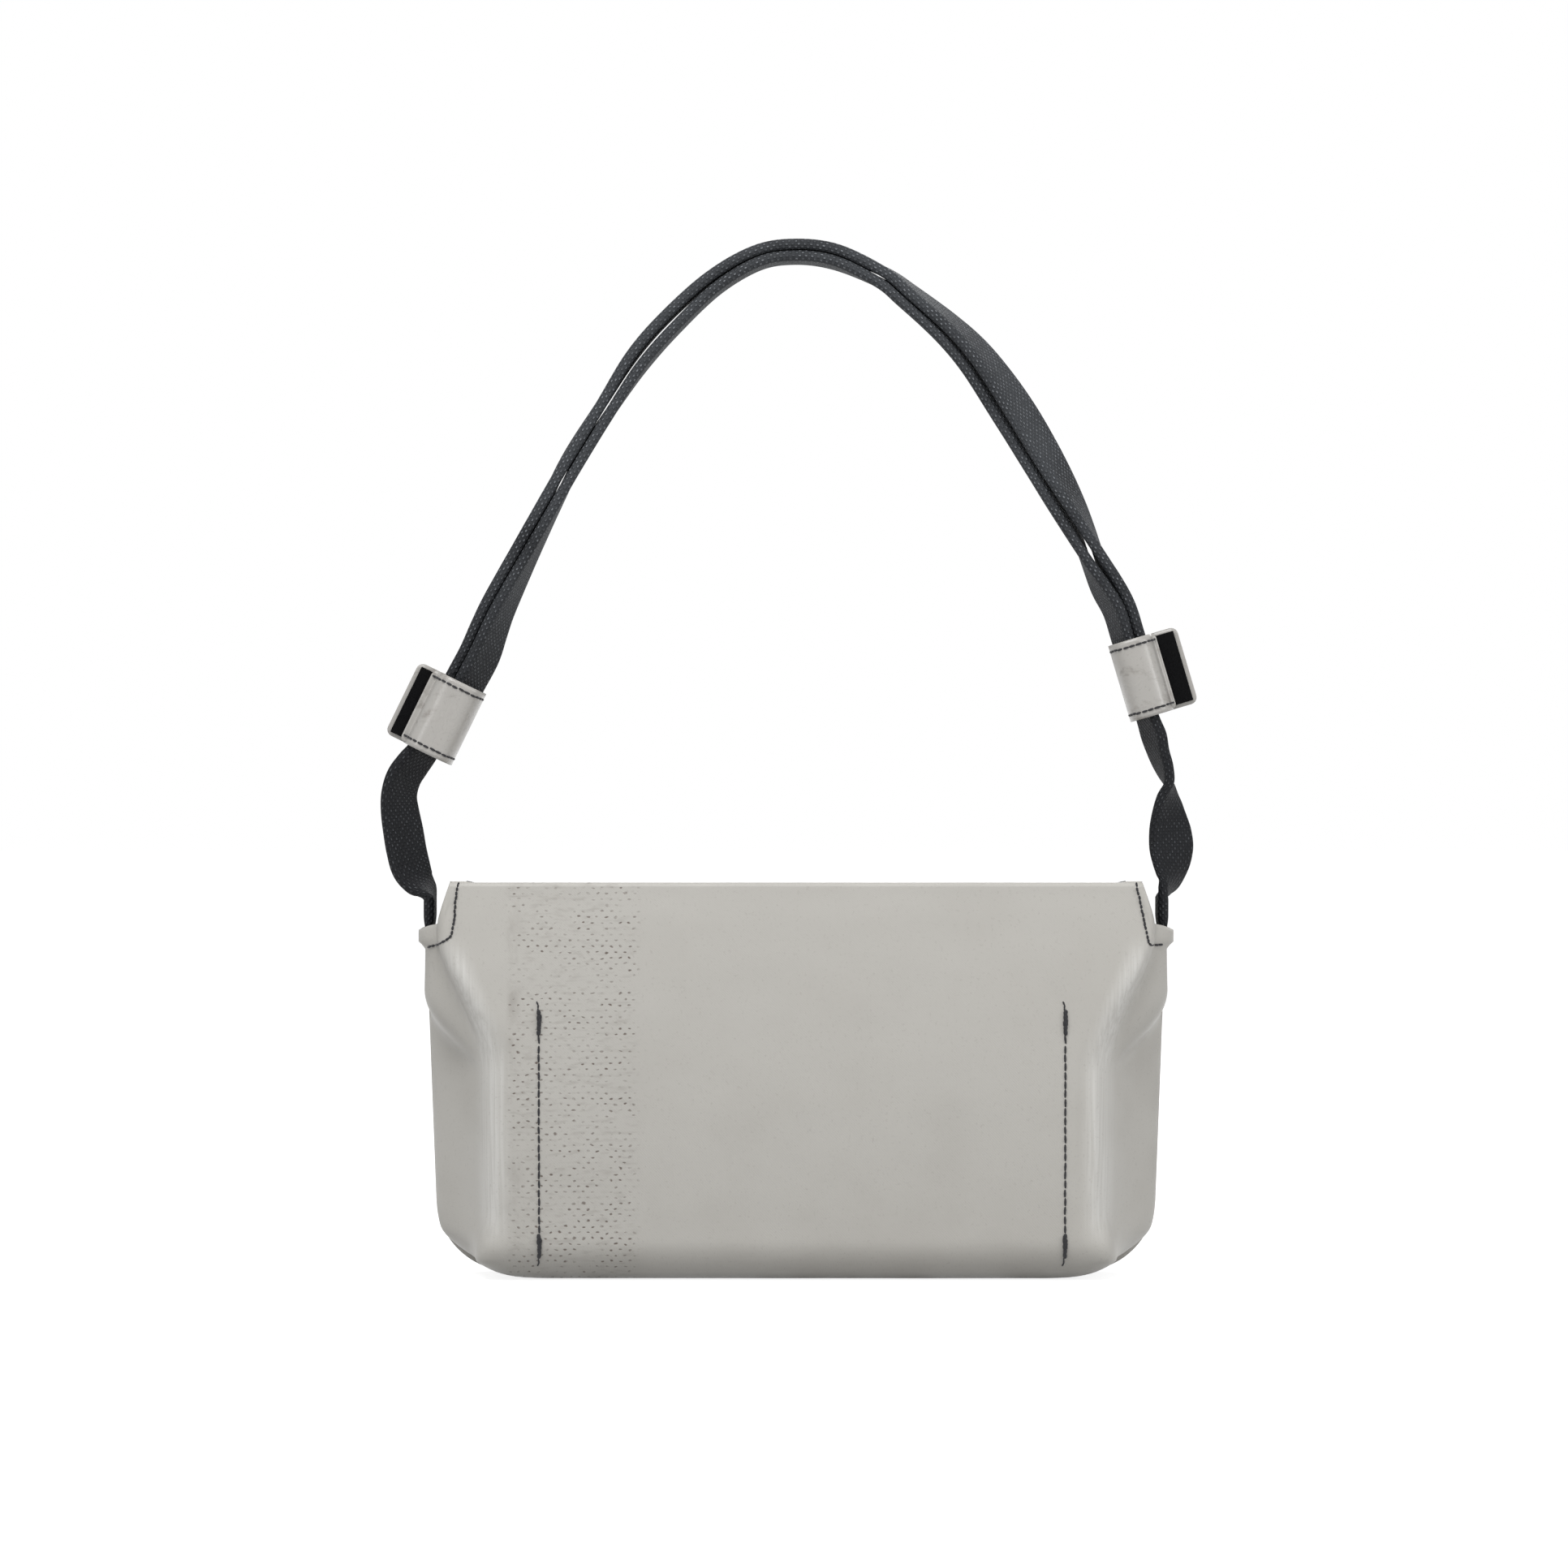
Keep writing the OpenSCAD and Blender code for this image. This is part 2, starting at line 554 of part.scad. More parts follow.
module wrap_section(width, edge) {
    start_y = cuff_fold_y + tarp_t / 2 + run;
    polygon(concat(
        tube_line(width, tarp_t, tube_angle(tarp_t, start_y), 180 - tube_angle(tarp_t, fin_y + tarp_t)),
        [[-edge, fin_y + tarp_t], [-edge, fin_y]],
        tube_line(width, 0, 180 - tube_angle(0, fin_y), tube_angle(0, start_y))
    ));
}
module cover_section(width, edge) {
    polygon(concat(
        tube_line(width, tarp_t, tube_angle(tarp_t, cuff_fold_y), -180 + tube_angle(tarp_t, fin_y + tarp_t)),
        [[-edge, -fin_y - tarp_t], [-edge, -fin_y]],
        tube_line(width, 0, -180 + tube_angle(0, fin_y), tube_angle(0, cuff_fold_y))
    ));
}
// side -1 is the left cuff, 1 the right one
function tube_w(side) = side < 0 ? left_cuff_w : right_cuff_w;
function cover_edge(side) = tube_w(side) / 2 + tarp_t + (side < 0 ? left_lip : right_lip);
function tab_edge(side) = cover_edge(side) + (side < 0 ? left_tab : right_tab);
module on_strap(side) {
    spot = side < 0 ? left_cuff_at : right_cuff_at;
    lean = side < 0 ? left_cuff_lean : -right_cuff_lean;
    translate([spot[0] * wide, 0, spot[1] * high + pivot_h]) rotate([0, lean, 0])
        mirror([side > 0 ? 1 : 0, 0, 0]) children();
}
module cuff_wrap(side) {
    color(tarp) on_strap(side)
        linear_extrude(cuff_l, center = true) wrap_section(tube_w(side), tab_edge(side));
}
module cuff_cover(side) {
    color(tarp) on_strap(side)
        linear_extrude(cuff_l, center = true) cover_section(tube_w(side), cover_edge(side));
}
// hook tape on the back tab and loop tape inside the cover, s is 1 on the tab and -1 on the cover
module cuff_tape(side, s, far) {
    near = tube_w(side) / 2 + lay;
    color(velvet) on_strap(side)
        translate([-(far + near) / 2, s * (hook_gap + tape_t / 2), 0])
            cube([far - near, tape_t, cuff_l - 3], center = true);
}
module cuff_hook(side) { cuff_tape(side, 1, tab_edge(side) - 1.8); }
module cuff_loop(side) { cuff_tape(side, -1, cover_edge(side) - 0.3); }
// two thread rows across the front of the cover, near its top and bottom edges
module cuff_stitches(side) {
    half_w = (tube_w(side) + tarp_t) / 2;
    half_d = (cuff_deep + tarp_t) / 2;
    function front(x) = -half_d * pow(1 - pow(abs(x / half_w), cuff_square), 1 / cuff_square);
    count = floor(0.8 * half_w / stitch_pitch);
    color(thread) on_strap(side)
    for (z = [-1, 1], i = [-count:count]) let (x = i * stitch_pitch)
        translate([x, front(x), z * (cuff_l / 2 - 2.8)])
            rotate([0, 0, atan(front(x + 0.5) - front(x - 0.5))])
                cube([stitch_l, tarp_t + 2 * proud - 0.1, thread_t], center = true);
}
module left_cuff_wrap() { cuff_wrap(-1); }
module left_cuff_cover() { cuff_cover(-1); }
module left_cuff_hook() { cuff_hook(-1); }
module left_cuff_loop() { cuff_loop(-1); }
module left_cuff_stitches() { cuff_stitches(-1); }
module right_cuff_wrap() { cuff_wrap(1); }
module right_cuff_cover() { cuff_cover(1); }
module right_cuff_hook() { cuff_hook(1); }
module right_cuff_loop() { cuff_loop(1); }
module right_cuff_stitches() { cuff_stitches(1); }

back_panel();
front_panel();
flap();
inner_pocket();
pocket_seam_left();
pocket_seam_right();
side_seam_left();
side_seam_right();
bottom_seam();
mouth_hem_stitches();
flap_hem_stitches();
closure_loop_strips();
closure_hook_strips();
left_strap_tail();
right_strap_tail();
left_tail_patch();
right_tail_patch();
left_tail_stitches();
right_tail_stitches();
left_strap();
right_strap();
left_cuff_wrap();
left_cuff_cover();
left_cuff_hook();
left_cuff_loop();
left_cuff_stitches();
right_cuff_wrap();
right_cuff_cover();
right_cuff_hook();
right_cuff_loop();
right_cuff_stitches();
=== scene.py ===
# %% [markdown]
# # A trapeze shoulder bag of truck tarpaulin
#
# The bag is cut from a few flat sheets of coated cloth, so nearly every piece here is a surface:
# a point for each pair of numbers (along, up). We load the construction model first. It fixes where
# every piece is and how it moves, and we only dress it.

# %% Load the construction model
import bpy
import numpy as np
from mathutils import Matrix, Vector
from mathutils.bvhtree import BVHTree


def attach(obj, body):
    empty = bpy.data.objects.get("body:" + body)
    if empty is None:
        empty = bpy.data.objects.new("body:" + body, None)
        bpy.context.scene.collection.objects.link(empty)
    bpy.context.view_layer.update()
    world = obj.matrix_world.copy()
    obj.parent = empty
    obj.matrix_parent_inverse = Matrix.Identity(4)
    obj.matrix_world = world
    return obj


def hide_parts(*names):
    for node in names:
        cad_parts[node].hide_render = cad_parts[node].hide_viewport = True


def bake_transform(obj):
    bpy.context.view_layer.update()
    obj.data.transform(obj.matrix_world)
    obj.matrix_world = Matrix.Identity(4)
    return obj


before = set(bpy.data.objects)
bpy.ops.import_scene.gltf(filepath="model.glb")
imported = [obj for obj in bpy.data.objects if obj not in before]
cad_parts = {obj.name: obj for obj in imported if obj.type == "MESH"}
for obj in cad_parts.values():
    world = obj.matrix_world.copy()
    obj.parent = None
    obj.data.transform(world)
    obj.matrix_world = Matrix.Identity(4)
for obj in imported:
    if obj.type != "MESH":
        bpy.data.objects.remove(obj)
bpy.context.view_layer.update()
MM = 0.001

# %% [markdown]
# ## Camera
# The photograph was taken straight at the back of the bag, from about two metres, at about half the
# height of bag and strap together. A long lens from that place gives the same slight view onto things.
# We use a lens that puts 2.959 pixels on each millimetre at the strap's plane.

# %% Camera
PHOTO_SIZE = 1932
STRAP_SCALE = 2.959
CAMERA_AT = (-5.0, -2200.0, 204.7)

camera_data = bpy.data.cameras.new("camera")
camera_data.sensor_width = 36
camera_data.lens = camera_data.sensor_width * STRAP_SCALE * -CAMERA_AT[1] / PHOTO_SIZE
camera_data.clip_start, camera_data.clip_end = 0.05, 60
camera = bpy.data.objects.new("camera", camera_data)
camera.location = [v * MM for v in CAMERA_AT]
camera.rotation_euler = (np.pi / 2, 0, 0)
bpy.context.scene.collection.objects.link(camera)
bpy.context.scene.camera = camera
print("lens", round(camera_data.lens, 1), "mm")

# %% [markdown]
# ## Light
# A product photograph has a white ground and soft light from above and in front. The world lights the
# object evenly at a low level, and big lamps add the direction. Two smaller lamps stand low at the sides.
# Each of them draws one bright streak along the round cuff that faces it. What the camera sees behind the
# bag is white by itself, so no lamp has to burn it out. Glass rays see that white too.

# %% Light
SOFT_LEVEL = 0.44

world = bpy.data.worlds.new("studio")
world.use_nodes = True
bpy.context.scene.world = world
tree = world.node_tree
seen = tree.nodes.new("ShaderNodeLightPath")
either = tree.nodes.new("ShaderNodeMath")
either.operation = "MAXIMUM"
level = tree.nodes.new("ShaderNodeMapRange")
level.inputs["To Min"].default_value = SOFT_LEVEL
level.inputs["To Max"].default_value = 1.0
tree.links.new(seen.outputs["Is Camera Ray"], either.inputs[0])
tree.links.new(seen.outputs["Is Transmission Ray"], either.inputs[1])
tree.links.new(either.outputs[0], level.inputs["Value"])
tree.links.new(level.outputs[0], tree.nodes["Background"].inputs["Strength"])
tree.nodes["Background"].inputs["Color"].default_value = (1, 1, 1, 1)


def soft_lamp(name, at, aim, size, watts):
    """A square area lamp at a point, turned so that its face looks at another point."""
    data = bpy.data.lights.new(name, "AREA")
    data.size, data.energy = size, watts
    lamp = bpy.data.objects.new(name, data)
    lamp.location = at
    lamp.rotation_euler = (Vector(aim) - Vector(at)).to_track_quat("-Z", "Y").to_euler()
    bpy.context.scene.collection.objects.link(lamp)


soft_lamp("key", (-0.45, -1.35, 2.0), (0, 0, 0.14), 1.3, 28)
soft_lamp("fill", (1.3, -1.7, 1.2), (0, 0, 0.15), 1.2, 7)
soft_lamp("left_side", (-1.15, -0.95, 0.8), (-0.14, 0, 0.23), 0.6, 2.4)
soft_lamp("right_side", (1.45, -0.75, 0.62), (0.14, 0, 0.25), 0.6, 4)
soft_lamp("back_fill", (0.4, 1.8, 1.4), (0, 0, 0.15), 1.4, 14)
print("lamps:", len(bpy.data.lights))

# %% [markdown]
# ## The floor
# A white floor would throw its light back onto the bag's underside. So it is grey to the lamps, which
# keeps a soft shadow. It adds a white of its own that only the camera and glossy rays see, and floor and
# background become one white with no horizon.

# %% The floor
FLOOR_GREY, FLOOR_GLOW = 0.4, 0.85


def floor_material():
    """Matt grey plus a glow, seen by camera and glossy rays alone: their larger mask times its strength."""
    material = bpy.data.materials.new("studio_floor")
    material.use_nodes = True
    nodes, links = material.node_tree.nodes, material.node_tree.links
    shader = nodes["Principled BSDF"]
    shader.inputs["Base Color"].default_value = (FLOOR_GREY, FLOOR_GREY, FLOOR_GREY, 1)
    shader.inputs["Roughness"].default_value = 0.9
    shader.inputs["Specular IOR Level"].default_value = 0.1
    path = nodes.new("ShaderNodeLightPath")
    glow = nodes.new("ShaderNodeEmission")
    most = nodes.new("ShaderNodeMath")
    most.operation = "MAXIMUM"
    share = nodes.new("ShaderNodeMath")
    share.operation = "MULTIPLY"
    share.inputs[1].default_value = FLOOR_GLOW
    both = nodes.new("ShaderNodeAddShader")
    links.new(path.outputs["Is Camera Ray"], most.inputs[0])
    links.new(path.outputs["Is Glossy Ray"], most.inputs[1])
    links.new(most.outputs[0], share.inputs[0])
    links.new(share.outputs[0], glow.inputs["Strength"])
    links.new(shader.outputs[0], both.inputs[0])
    links.new(glow.outputs[0], both.inputs[1])
    links.new(both.outputs[0], nodes["Material Output"].inputs["Surface"])
    return material


floor_mesh = bpy.data.meshes.new("floor")
floor_mesh.from_pydata([(-9, -6, 0), (9, -6, 0), (9, 14, 0), (-9, 14, 0)], [], [(0, 1, 2, 3)])
floor = bpy.data.objects.new("floor", floor_mesh)
floor.location.z = -0.0002
floor_mesh.materials.append(floor_material())
bpy.context.scene.collection.objects.link(floor)
bpy.context.scene.view_settings.view_transform = "Standard"
print("the floor adds", FLOOR_GLOW, "of white to its grey of", FLOOR_GREY)

# %% [markdown]
# ## Helpers for surfaces
# A surface is a grid of points. We give it to Blender as one array, with a quad between each four
# neighbours. Where a pattern must follow the cloth, the grid also carries a UV map in metres, so that
# one unit of the pattern is one metre of webbing.

# %% Helpers for surfaces
def mix(a, b, f):
    """The value a share f of the way from a to b."""
    return a + (b - a) * f


def ease(f):
    """A share that starts and ends gently: 3f^2 - 2f^3, held between 0 and 1."""
    c = np.clip(f, 0, 1)
    return c * c * (3 - 2 * c)


def bump(x, centre, width):
    """A smooth bell of height 1 at centre: exp of minus the squared distance in widths."""
    return np.exp(-(((x - centre) / width) ** 2))


def noise(seed, *coords, size=1.0):
    """A calm wavering between -1 and 1: a mean of sines in seeded directions and phases."""
    draw, waves, total = np.random.default_rng(seed), 7, 0
    for _ in range(waves):
        turn = sum(c * draw.normal() for c in coords) / size
        total = total + np.sin(turn * 2.2 + draw.uniform(0, 6.28))
    return total / waves


print("a quarter of the way, eased:", ease(0.25), "and the bell there:", round(float(bump(0.25, 0, 1)), 3))

# %% [markdown]
# A surface becomes an object in one place. Its points are already where they belong, in metres, so the
# object itself stays at the origin. Solidify gives a sheet its thickness, and Weld closes its seams.

# %% From points to an object
def make_mesh(name, points, faces, material, uv=None):
    """A smooth object at the origin, from points in metres and lists of corner numbers."""
    mesh = bpy.data.meshes.new(name)
    mesh.from_pydata(np.asarray(points).tolist(), [], faces if isinstance(faces, list) else faces.tolist())
    mesh.polygons.foreach_set("use_smooth", np.ones(len(mesh.polygons), bool))
    if uv is not None:
        corner = np.empty(len(mesh.loops), np.int32)
        mesh.loops.foreach_get("vertex_index", corner)
        mesh.uv_layers.new(name="cloth").data.foreach_set("uv", np.asarray(uv)[corner].ravel())
    mesh.materials.append(material)
    thing = bpy.data.objects.new(name, mesh)
    bpy.context.scene.collection.objects.link(thing)
    return thing


def grid_faces(rows, cols, closed=False):
    """Quads between neighbours of a grid. Closed joins the last column to the first."""
    r, c = np.meshgrid(np.arange(rows - 1), np.arange(cols - (not closed)), indexing="ij")
    a, b = r * cols + c, r * cols + (c + 1) % cols
    return np.stack([a, b, b + cols, a + cols], -1).reshape(-1, 4)


def keep_modifiers(thing):
    """Makes the modifiers' result the mesh itself."""
    bpy.context.view_layer.update()
    done = thing.evaluated_get(bpy.context.evaluated_depsgraph_get())
    mesh = bpy.data.meshes.new_from_object(done)
    thing.modifiers.clear()
    thing.data = mesh
    return thing


def thicken(thing, thickness, side=-1):
    """Gives a sheet its thickness. Side -1 grows it inwards and leaves the outer face in place."""
    wall = thing.modifiers.new("wall", "SOLIDIFY")
    wall.thickness, wall.offset = thickness, side
    wall.use_even_offset = False
    return keep_modifiers(thing)


def welded(thing):
    """Merges points that lie within 0.02 mm of each other, so that seams and poles are closed."""
    weld = thing.modifiers.new("weld", "WELD")
    weld.merge_threshold = 0.02 * MM
    return keep_modifiers(thing)


def dress(thing, node, body_name):
    """Puts a finished piece in the place of its construction nodes."""
    if body_name:
        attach(thing, body_name)
    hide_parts(*([node] if isinstance(node, str) else node))
    print(thing.name, len(thing.data.polygons), "faces")
    return thing


print("Blender", bpy.app.version_string)

# %% [markdown]
# ## Finishes
# The tarpaulin is PVC over a woven base: a broad low sheen, the weave printing faintly through, and
# years of road dust. The dirt lies in a band with staggered specks, where lashings rubbed it. Grain and
# weave are shader groups, because the cuffs, the flap and the bag share them with other values. A few
# helpers come first, so that a formula of nodes reads almost like one in Python.

# %% Helpers for nodes
def new_group(name, numbers, outputs):
    """An empty node group with named number inputs (name, value) and outputs (name, socket type)."""
    group = bpy.data.node_groups.new(name, "ShaderNodeTree")
    group.interface.new_socket("Place", in_out="INPUT", socket_type="NodeSocketVector")
    for label, value in numbers:
        group.interface.new_socket(label, in_out="INPUT", socket_type="NodeSocketFloat").default_value = value
    for label, kind in outputs:
        group.interface.new_socket(label, in_out="OUTPUT", socket_type=kind)
    return group, group.nodes.new("NodeGroupInput"), group.nodes.new("NodeGroupOutput")


def math_node(tree, operation, *values):
    """A Math node whose inputs are numbers or sockets. It returns its output socket."""
    node = tree.nodes.new("ShaderNodeMath")
    node.operation = operation
    for socket, value in zip(node.inputs, values):
        if isinstance(value, (int, float)):
            socket.default_value = value
        else:
            tree.links.new(value, socket)
    return node.outputs[0]


def noise_node(tree, place, scale, detail=2.0, rough=0.5):
    """A Noise texture read at a place. It returns its value, about 0.5 on average."""
    node = tree.nodes.new("ShaderNodeTexNoise")
    node.inputs["Scale"].default_value = scale
    node.inputs["Detail"].default_value = detail
    node.inputs["Roughness"].default_value = rough
    tree.links.new(place, node.inputs["Vector"])
    return node.outputs["Fac"]


def range_node(tree, value, low, high, to_low=0.0, to_high=1.0):
    """Maps low..high onto another range, with gentle ends."""
    node = tree.nodes.new("ShaderNodeMapRange")
    node.interpolation_type = "SMOOTHSTEP"
    for label, number in (("From Min", low), ("From Max", high), ("To Min", to_low), ("To Max", to_high)):
        node.inputs[label].default_value = number
    tree.links.new(value, node.inputs["Value"])
    return node.outputs[0]


def split(tree, vector):
    """The three numbers of a vector socket."""
    node = tree.nodes.new("ShaderNodeSeparateXYZ")
    tree.links.new(vector, node.inputs[0])
    return node.outputs


def stretch(tree, place, factors):
    """A place scaled by its own factor on each axis, for patterns that run one way."""
    node = tree.nodes.new("ShaderNodeVectorMath")
    node.operation = "MULTIPLY"
    node.inputs[1].default_value = factors
    tree.links.new(place, node.inputs[0])
    return node.outputs[0]


print("node helpers:", math_node.__name__, noise_node.__name__, range_node.__name__)

# %% [markdown]
# The woven base is two crossing sets of threads. Two sine waves, multiplied, rise where a thread of one
# set lies on top and sink where it dives. Road dust is a cloud of soft noise, and a much finer noise cut
# off high, so that only single dark grains are left.

# %% Weave and road dust
def weave_group():
    """Plain weave: two crossing waves, threads of the given pitch over and under each other."""
    group, given, out = new_group("plain_weave", [("Pitch", 0.0011)], [("Height", "NodeSocketFloat")])
    x, y, z = split(group, given.outputs["Place"])
    across = math_node(group, "ADD", x, y)
    waves = []
    for value in (across, z):
        turns = math_node(group, "DIVIDE", value, given.outputs["Pitch"])
        waves.append(math_node(group, "SINE", math_node(group, "MULTIPLY", turns, 6.2832)))
    group.links.new(math_node(group, "MULTIPLY", *waves), out.inputs["Height"])
    return group


def grime_group():
    """Soft clouds of dust and fine dark grains, both as masks from 0 to 1."""
    group, given, out = new_group("road_dust", [("Cloud Size", 0.05), ("Grain Share", 0.25)],
                                  [("Clouds", "NodeSocketFloat"), ("Grains", "NodeSocketFloat")])
    scale = math_node(group, "DIVIDE", 1.0, given.outputs["Cloud Size"])
    cloud = group.nodes.new("ShaderNodeTexNoise")
    cloud.inputs["Detail"].default_value = 5
    group.links.new(given.outputs["Place"], cloud.inputs["Vector"])
    group.links.new(scale, cloud.inputs["Scale"])
    group.links.new(range_node(group, cloud.outputs["Fac"], 0.35, 0.75), out.inputs["Clouds"])
    grains = range_node(group, noise_node(group, given.outputs["Place"], 900, 3), 0.58, 0.76)
    group.links.new(math_node(group, "MULTIPLY", grains, given.outputs["Grain Share"]), out.inputs["Grains"])
    return group


WEAVE, GRIME = weave_group(), grime_group()
print("shader groups:", WEAVE.name, GRIME.name)

# %% [markdown]
# Where a lashing lay on the truck, its knots rubbed the coating in staggered rows of small flat ovals.
# A lattice gives the rows: each place is measured from the centre of its cell, and every other row is
# moved by half a cell. Noise bends the lattice and thins it out, so that it doesn't look printed.

# %% Rubbed specks
def speck_group():
    """Rubbed specks in the X and Z plane: flat ovals round the centres of a brick-like lattice that
    noise has bent, cut off at the radius, and thinned out by clouds and by uneven rows."""
    group, given, out = new_group("staggered_specks",
                                  [("Column", 0.0038), ("Row", 0.0024), ("Radius", 0.00095)],
                                  [("Specks", "NodeSocketFloat")])
    place = given.outputs["Place"]
    x, _, z = split(group, place)
    bent = []
    for value, factors, amount in ((x, (260, 260, 330), 0.0021), (z, (-210, 40, 290), 0.0026)):
        drift = math_node(group, "SUBTRACT", noise_node(group, stretch(group, place, factors), 1.0, 2), 0.5)
        bent.append(math_node(group, "ADD", value, math_node(group, "MULTIPLY", drift, amount)))
    row = math_node(group, "DIVIDE", bent[1], given.outputs["Row"])
    odd = math_node(group, "FLOORED_MODULO", math_node(group, "FLOOR", row), 2.0)
    col = math_node(group, "DIVIDE", bent[0], given.outputs["Column"])
    col = math_node(group, "ADD", col, math_node(group, "MULTIPLY", odd, 0.5))
    sides = []
    for cell, size, long in ((row, given.outputs["Row"], 1.9), (col, given.outputs["Column"], 1.0)):
        off = math_node(group, "SUBTRACT", math_node(group, "FRACT", cell), 0.5)
        off = math_node(group, "MULTIPLY", math_node(group, "MULTIPLY", off, size), long)
        sides.append(math_node(group, "POWER", off, 2.0))
    far = math_node(group, "SQRT", math_node(group, "ADD", *sides))
    near = math_node(group, "SUBTRACT", 1.0, math_node(group, "DIVIDE", far, given.outputs["Radius"]))
    clouds = range_node(group, noise_node(group, place, 150, 3, 0.6), 0.38, 0.58)
    rows = noise_node(group, stretch(group, place, (22, 22, 130)), 1.0, 2)
    here = math_node(group, "MULTIPLY", clouds, range_node(group, rows, 0.38, 0.58, 0.35, 1.0))
    specks = math_node(group, "MULTIPLY", range_node(group, near, 0.0, 0.6), here)
    group.links.new(specks, out.inputs["Specks"])
    return group


SPECKS = speck_group()
print("shader group:", SPECKS.name)

# %% [markdown]
# Every material is one Principled shader. Its pattern is read at Object coordinates, in metres, so a
# thread of the weave has its real size. Only masks and heights come out of the groups.

# %% Helpers for materials
def new_material(name, color, roughness, specular):
    """A Principled material. Returns it with its tree, its shader and its Object coordinates."""
    material = bpy.data.materials.new(name)
    material.use_nodes = True
    tree = material.node_tree
    shader = tree.nodes["Principled BSDF"]
    shader.inputs["Base Color"].default_value = (*color, 1)
    shader.inputs["Roughness"].default_value = roughness
    shader.inputs["Specular IOR Level"].default_value = specular
    place = tree.nodes.new("ShaderNodeTexCoord")
    return material, tree, shader, place.outputs["Object"]


def put_group(tree, group, place, **values):
    """Places a shared group in a material, with its own numbers."""
    node = tree.nodes.new("ShaderNodeGroup")
    node.node_tree = group
    tree.links.new(place, node.inputs["Place"])
    for label, value in values.items():
        node.inputs[label.replace("_", " ")].default_value = value
    return node.outputs


def add_bump(tree, shader, height, distance):
    """Feeds a height, times a distance in metres, into the shader's normal."""
    node = tree.nodes.new("ShaderNodeBump")
    node.inputs["Distance"].default_value = distance
    node.inputs["Strength"].default_value = 1.0
    tree.links.new(height, node.inputs["Height"])
    tree.links.new(node.outputs[0], shader.inputs["Normal"])


def mix_color(tree, share, low, high):
    """Mixes two colours, or a colour and a socket, by a mask socket."""
    node = tree.nodes.new("ShaderNodeMix")
    node.data_type = "RGBA"
    tree.links.new(share, node.inputs["Factor"])
    for socket, value in ((node.inputs[6], low), (node.inputs[7], high)):
        if isinstance(value, tuple):
            socket.default_value = (*value, 1)
        else:
            tree.links.new(value, socket)
    return node.outputs[2]


print("material helpers:", new_material.__name__, put_group.__name__, mix_color.__name__)

# %% [markdown]
# The marks on the back are masks that the tarpaulin mixes in. The rubbed band lies between two values
# of X. Along the two ridges the cloth creases with every step, and there a lighter colour is mixed in as a
# painted highlight.

# %% Marks of use and a painted highlight
BAND_X = (-117.7 * MM, -63.7 * MM)


def outer_side(tree):
    """1 on cloth that faces back or sideways, and 0 on its inner side, from the unturned normal."""
    normal = tree.nodes.new("ShaderNodeTexCoord").outputs["Normal"]
    return range_node(tree, split(tree, normal)[1], -0.2, 0.1, 1, 0)


def road_marks(tree, place):
    """The rubbed band on the back: specks, smudges at its left edge and faint streaks across it."""
    x = split(tree, place)[0]
    outside = outer_side(tree)
    wavy = math_node(tree, "ADD", x, math_node(tree, "MULTIPLY", noise_node(tree, place, 60), 0.003))
    band = math_node(tree, "MULTIPLY", range_node(tree, wavy, BAND_X[0] - 0.001, BAND_X[0] + 0.003),
                     range_node(tree, wavy, BAND_X[1] - 0.004, BAND_X[1] + 0.003, 1, 0))
    band = math_node(tree, "MULTIPLY", band, outside)
    spots = put_group(tree, SPECKS, place)["Specks"]
    near_edge = range_node(tree, wavy, BAND_X[0], BAND_X[0] + 0.010, 0.4, 0.0)
    blots = noise_node(tree, stretch(tree, place, (90, 90, 60)), 1.0, 4, 0.65)
    smudge = math_node(tree, "MULTIPLY", near_edge, range_node(tree, blots, 0.45, 0.75))
    scratches = noise_node(tree, stretch(tree, place, (160, 160, 560)), 1.0, 3)
    streaks = range_node(tree, scratches, 0.48, 0.78, 0.0, 0.22)
    marks = math_node(tree, "MAXIMUM", math_node(tree, "MAXIMUM", spots, smudge), streaks)
    return math_node(tree, "MULTIPLY", marks, band), spots, band


def ridge_painted_highlight(tree, place):
    """Painted highlight along the ridges: a lighter colour in a soft bell round a value of |x| that leans
    outwards under the ears, times the height it runs over, times fine upright streaks."""
    x, y, z = split(tree, place)
    lean = math_node(tree, "MULTIPLY", range_node(tree, z, 0.086, 0.146, 0, 1), 0.018)
    off = math_node(tree, "SUBTRACT", math_node(tree, "ABSOLUTE", x), 0.1245)
    off = math_node(tree, "ABSOLUTE", math_node(tree, "SUBTRACT", off, lean))
    bell = range_node(tree, off, 0.0, 0.009, 1, 0)
    foot, head = range_node(tree, z, 0.012, 0.03), range_node(tree, z, 0.128, 0.145, 1, 0)
    fine = noise_node(tree, stretch(tree, place, (900, 700, 16)), 1.0, 3)
    streaks = range_node(tree, fine, 0.3, 0.7, 0.45, 1.0)
    back = math_node(tree, "MULTIPLY", range_node(tree, y, -0.012, -0.004, 1, 0), outer_side(tree))
    spot = math_node(tree, "MULTIPLY", bell, math_node(tree, "MULTIPLY", foot, head))
    return math_node(tree, "MULTIPLY", spot, math_node(tree, "MULTIPLY", streaks, back))


print("rubbed band, in mm:", [round(x / MM, 1) for x in BAND_X])

# %% [markdown]
# One function makes all the tarpaulin. The bag's back gets the marks and a painted highlight along its
# ridges, and the handled cuffs are smoother and smeared. Height is a sum of weave, grain and wide creases,
# and one Bump node turns it into shading.

# %% Tarpaulin
TARP_COLOR, TARP_DIRT, TARP_DUST = (0.54, 0.525, 0.49), (0.17, 0.14, 0.12), (0.44, 0.42, 0.385)
# The first colour below is a painted highlight, mixed in along the back's ridges.
TARP_PAINTED_HIGHLIGHT, CUFF_COLOR = (0.72, 0.71, 0.68), (0.47, 0.455, 0.43)


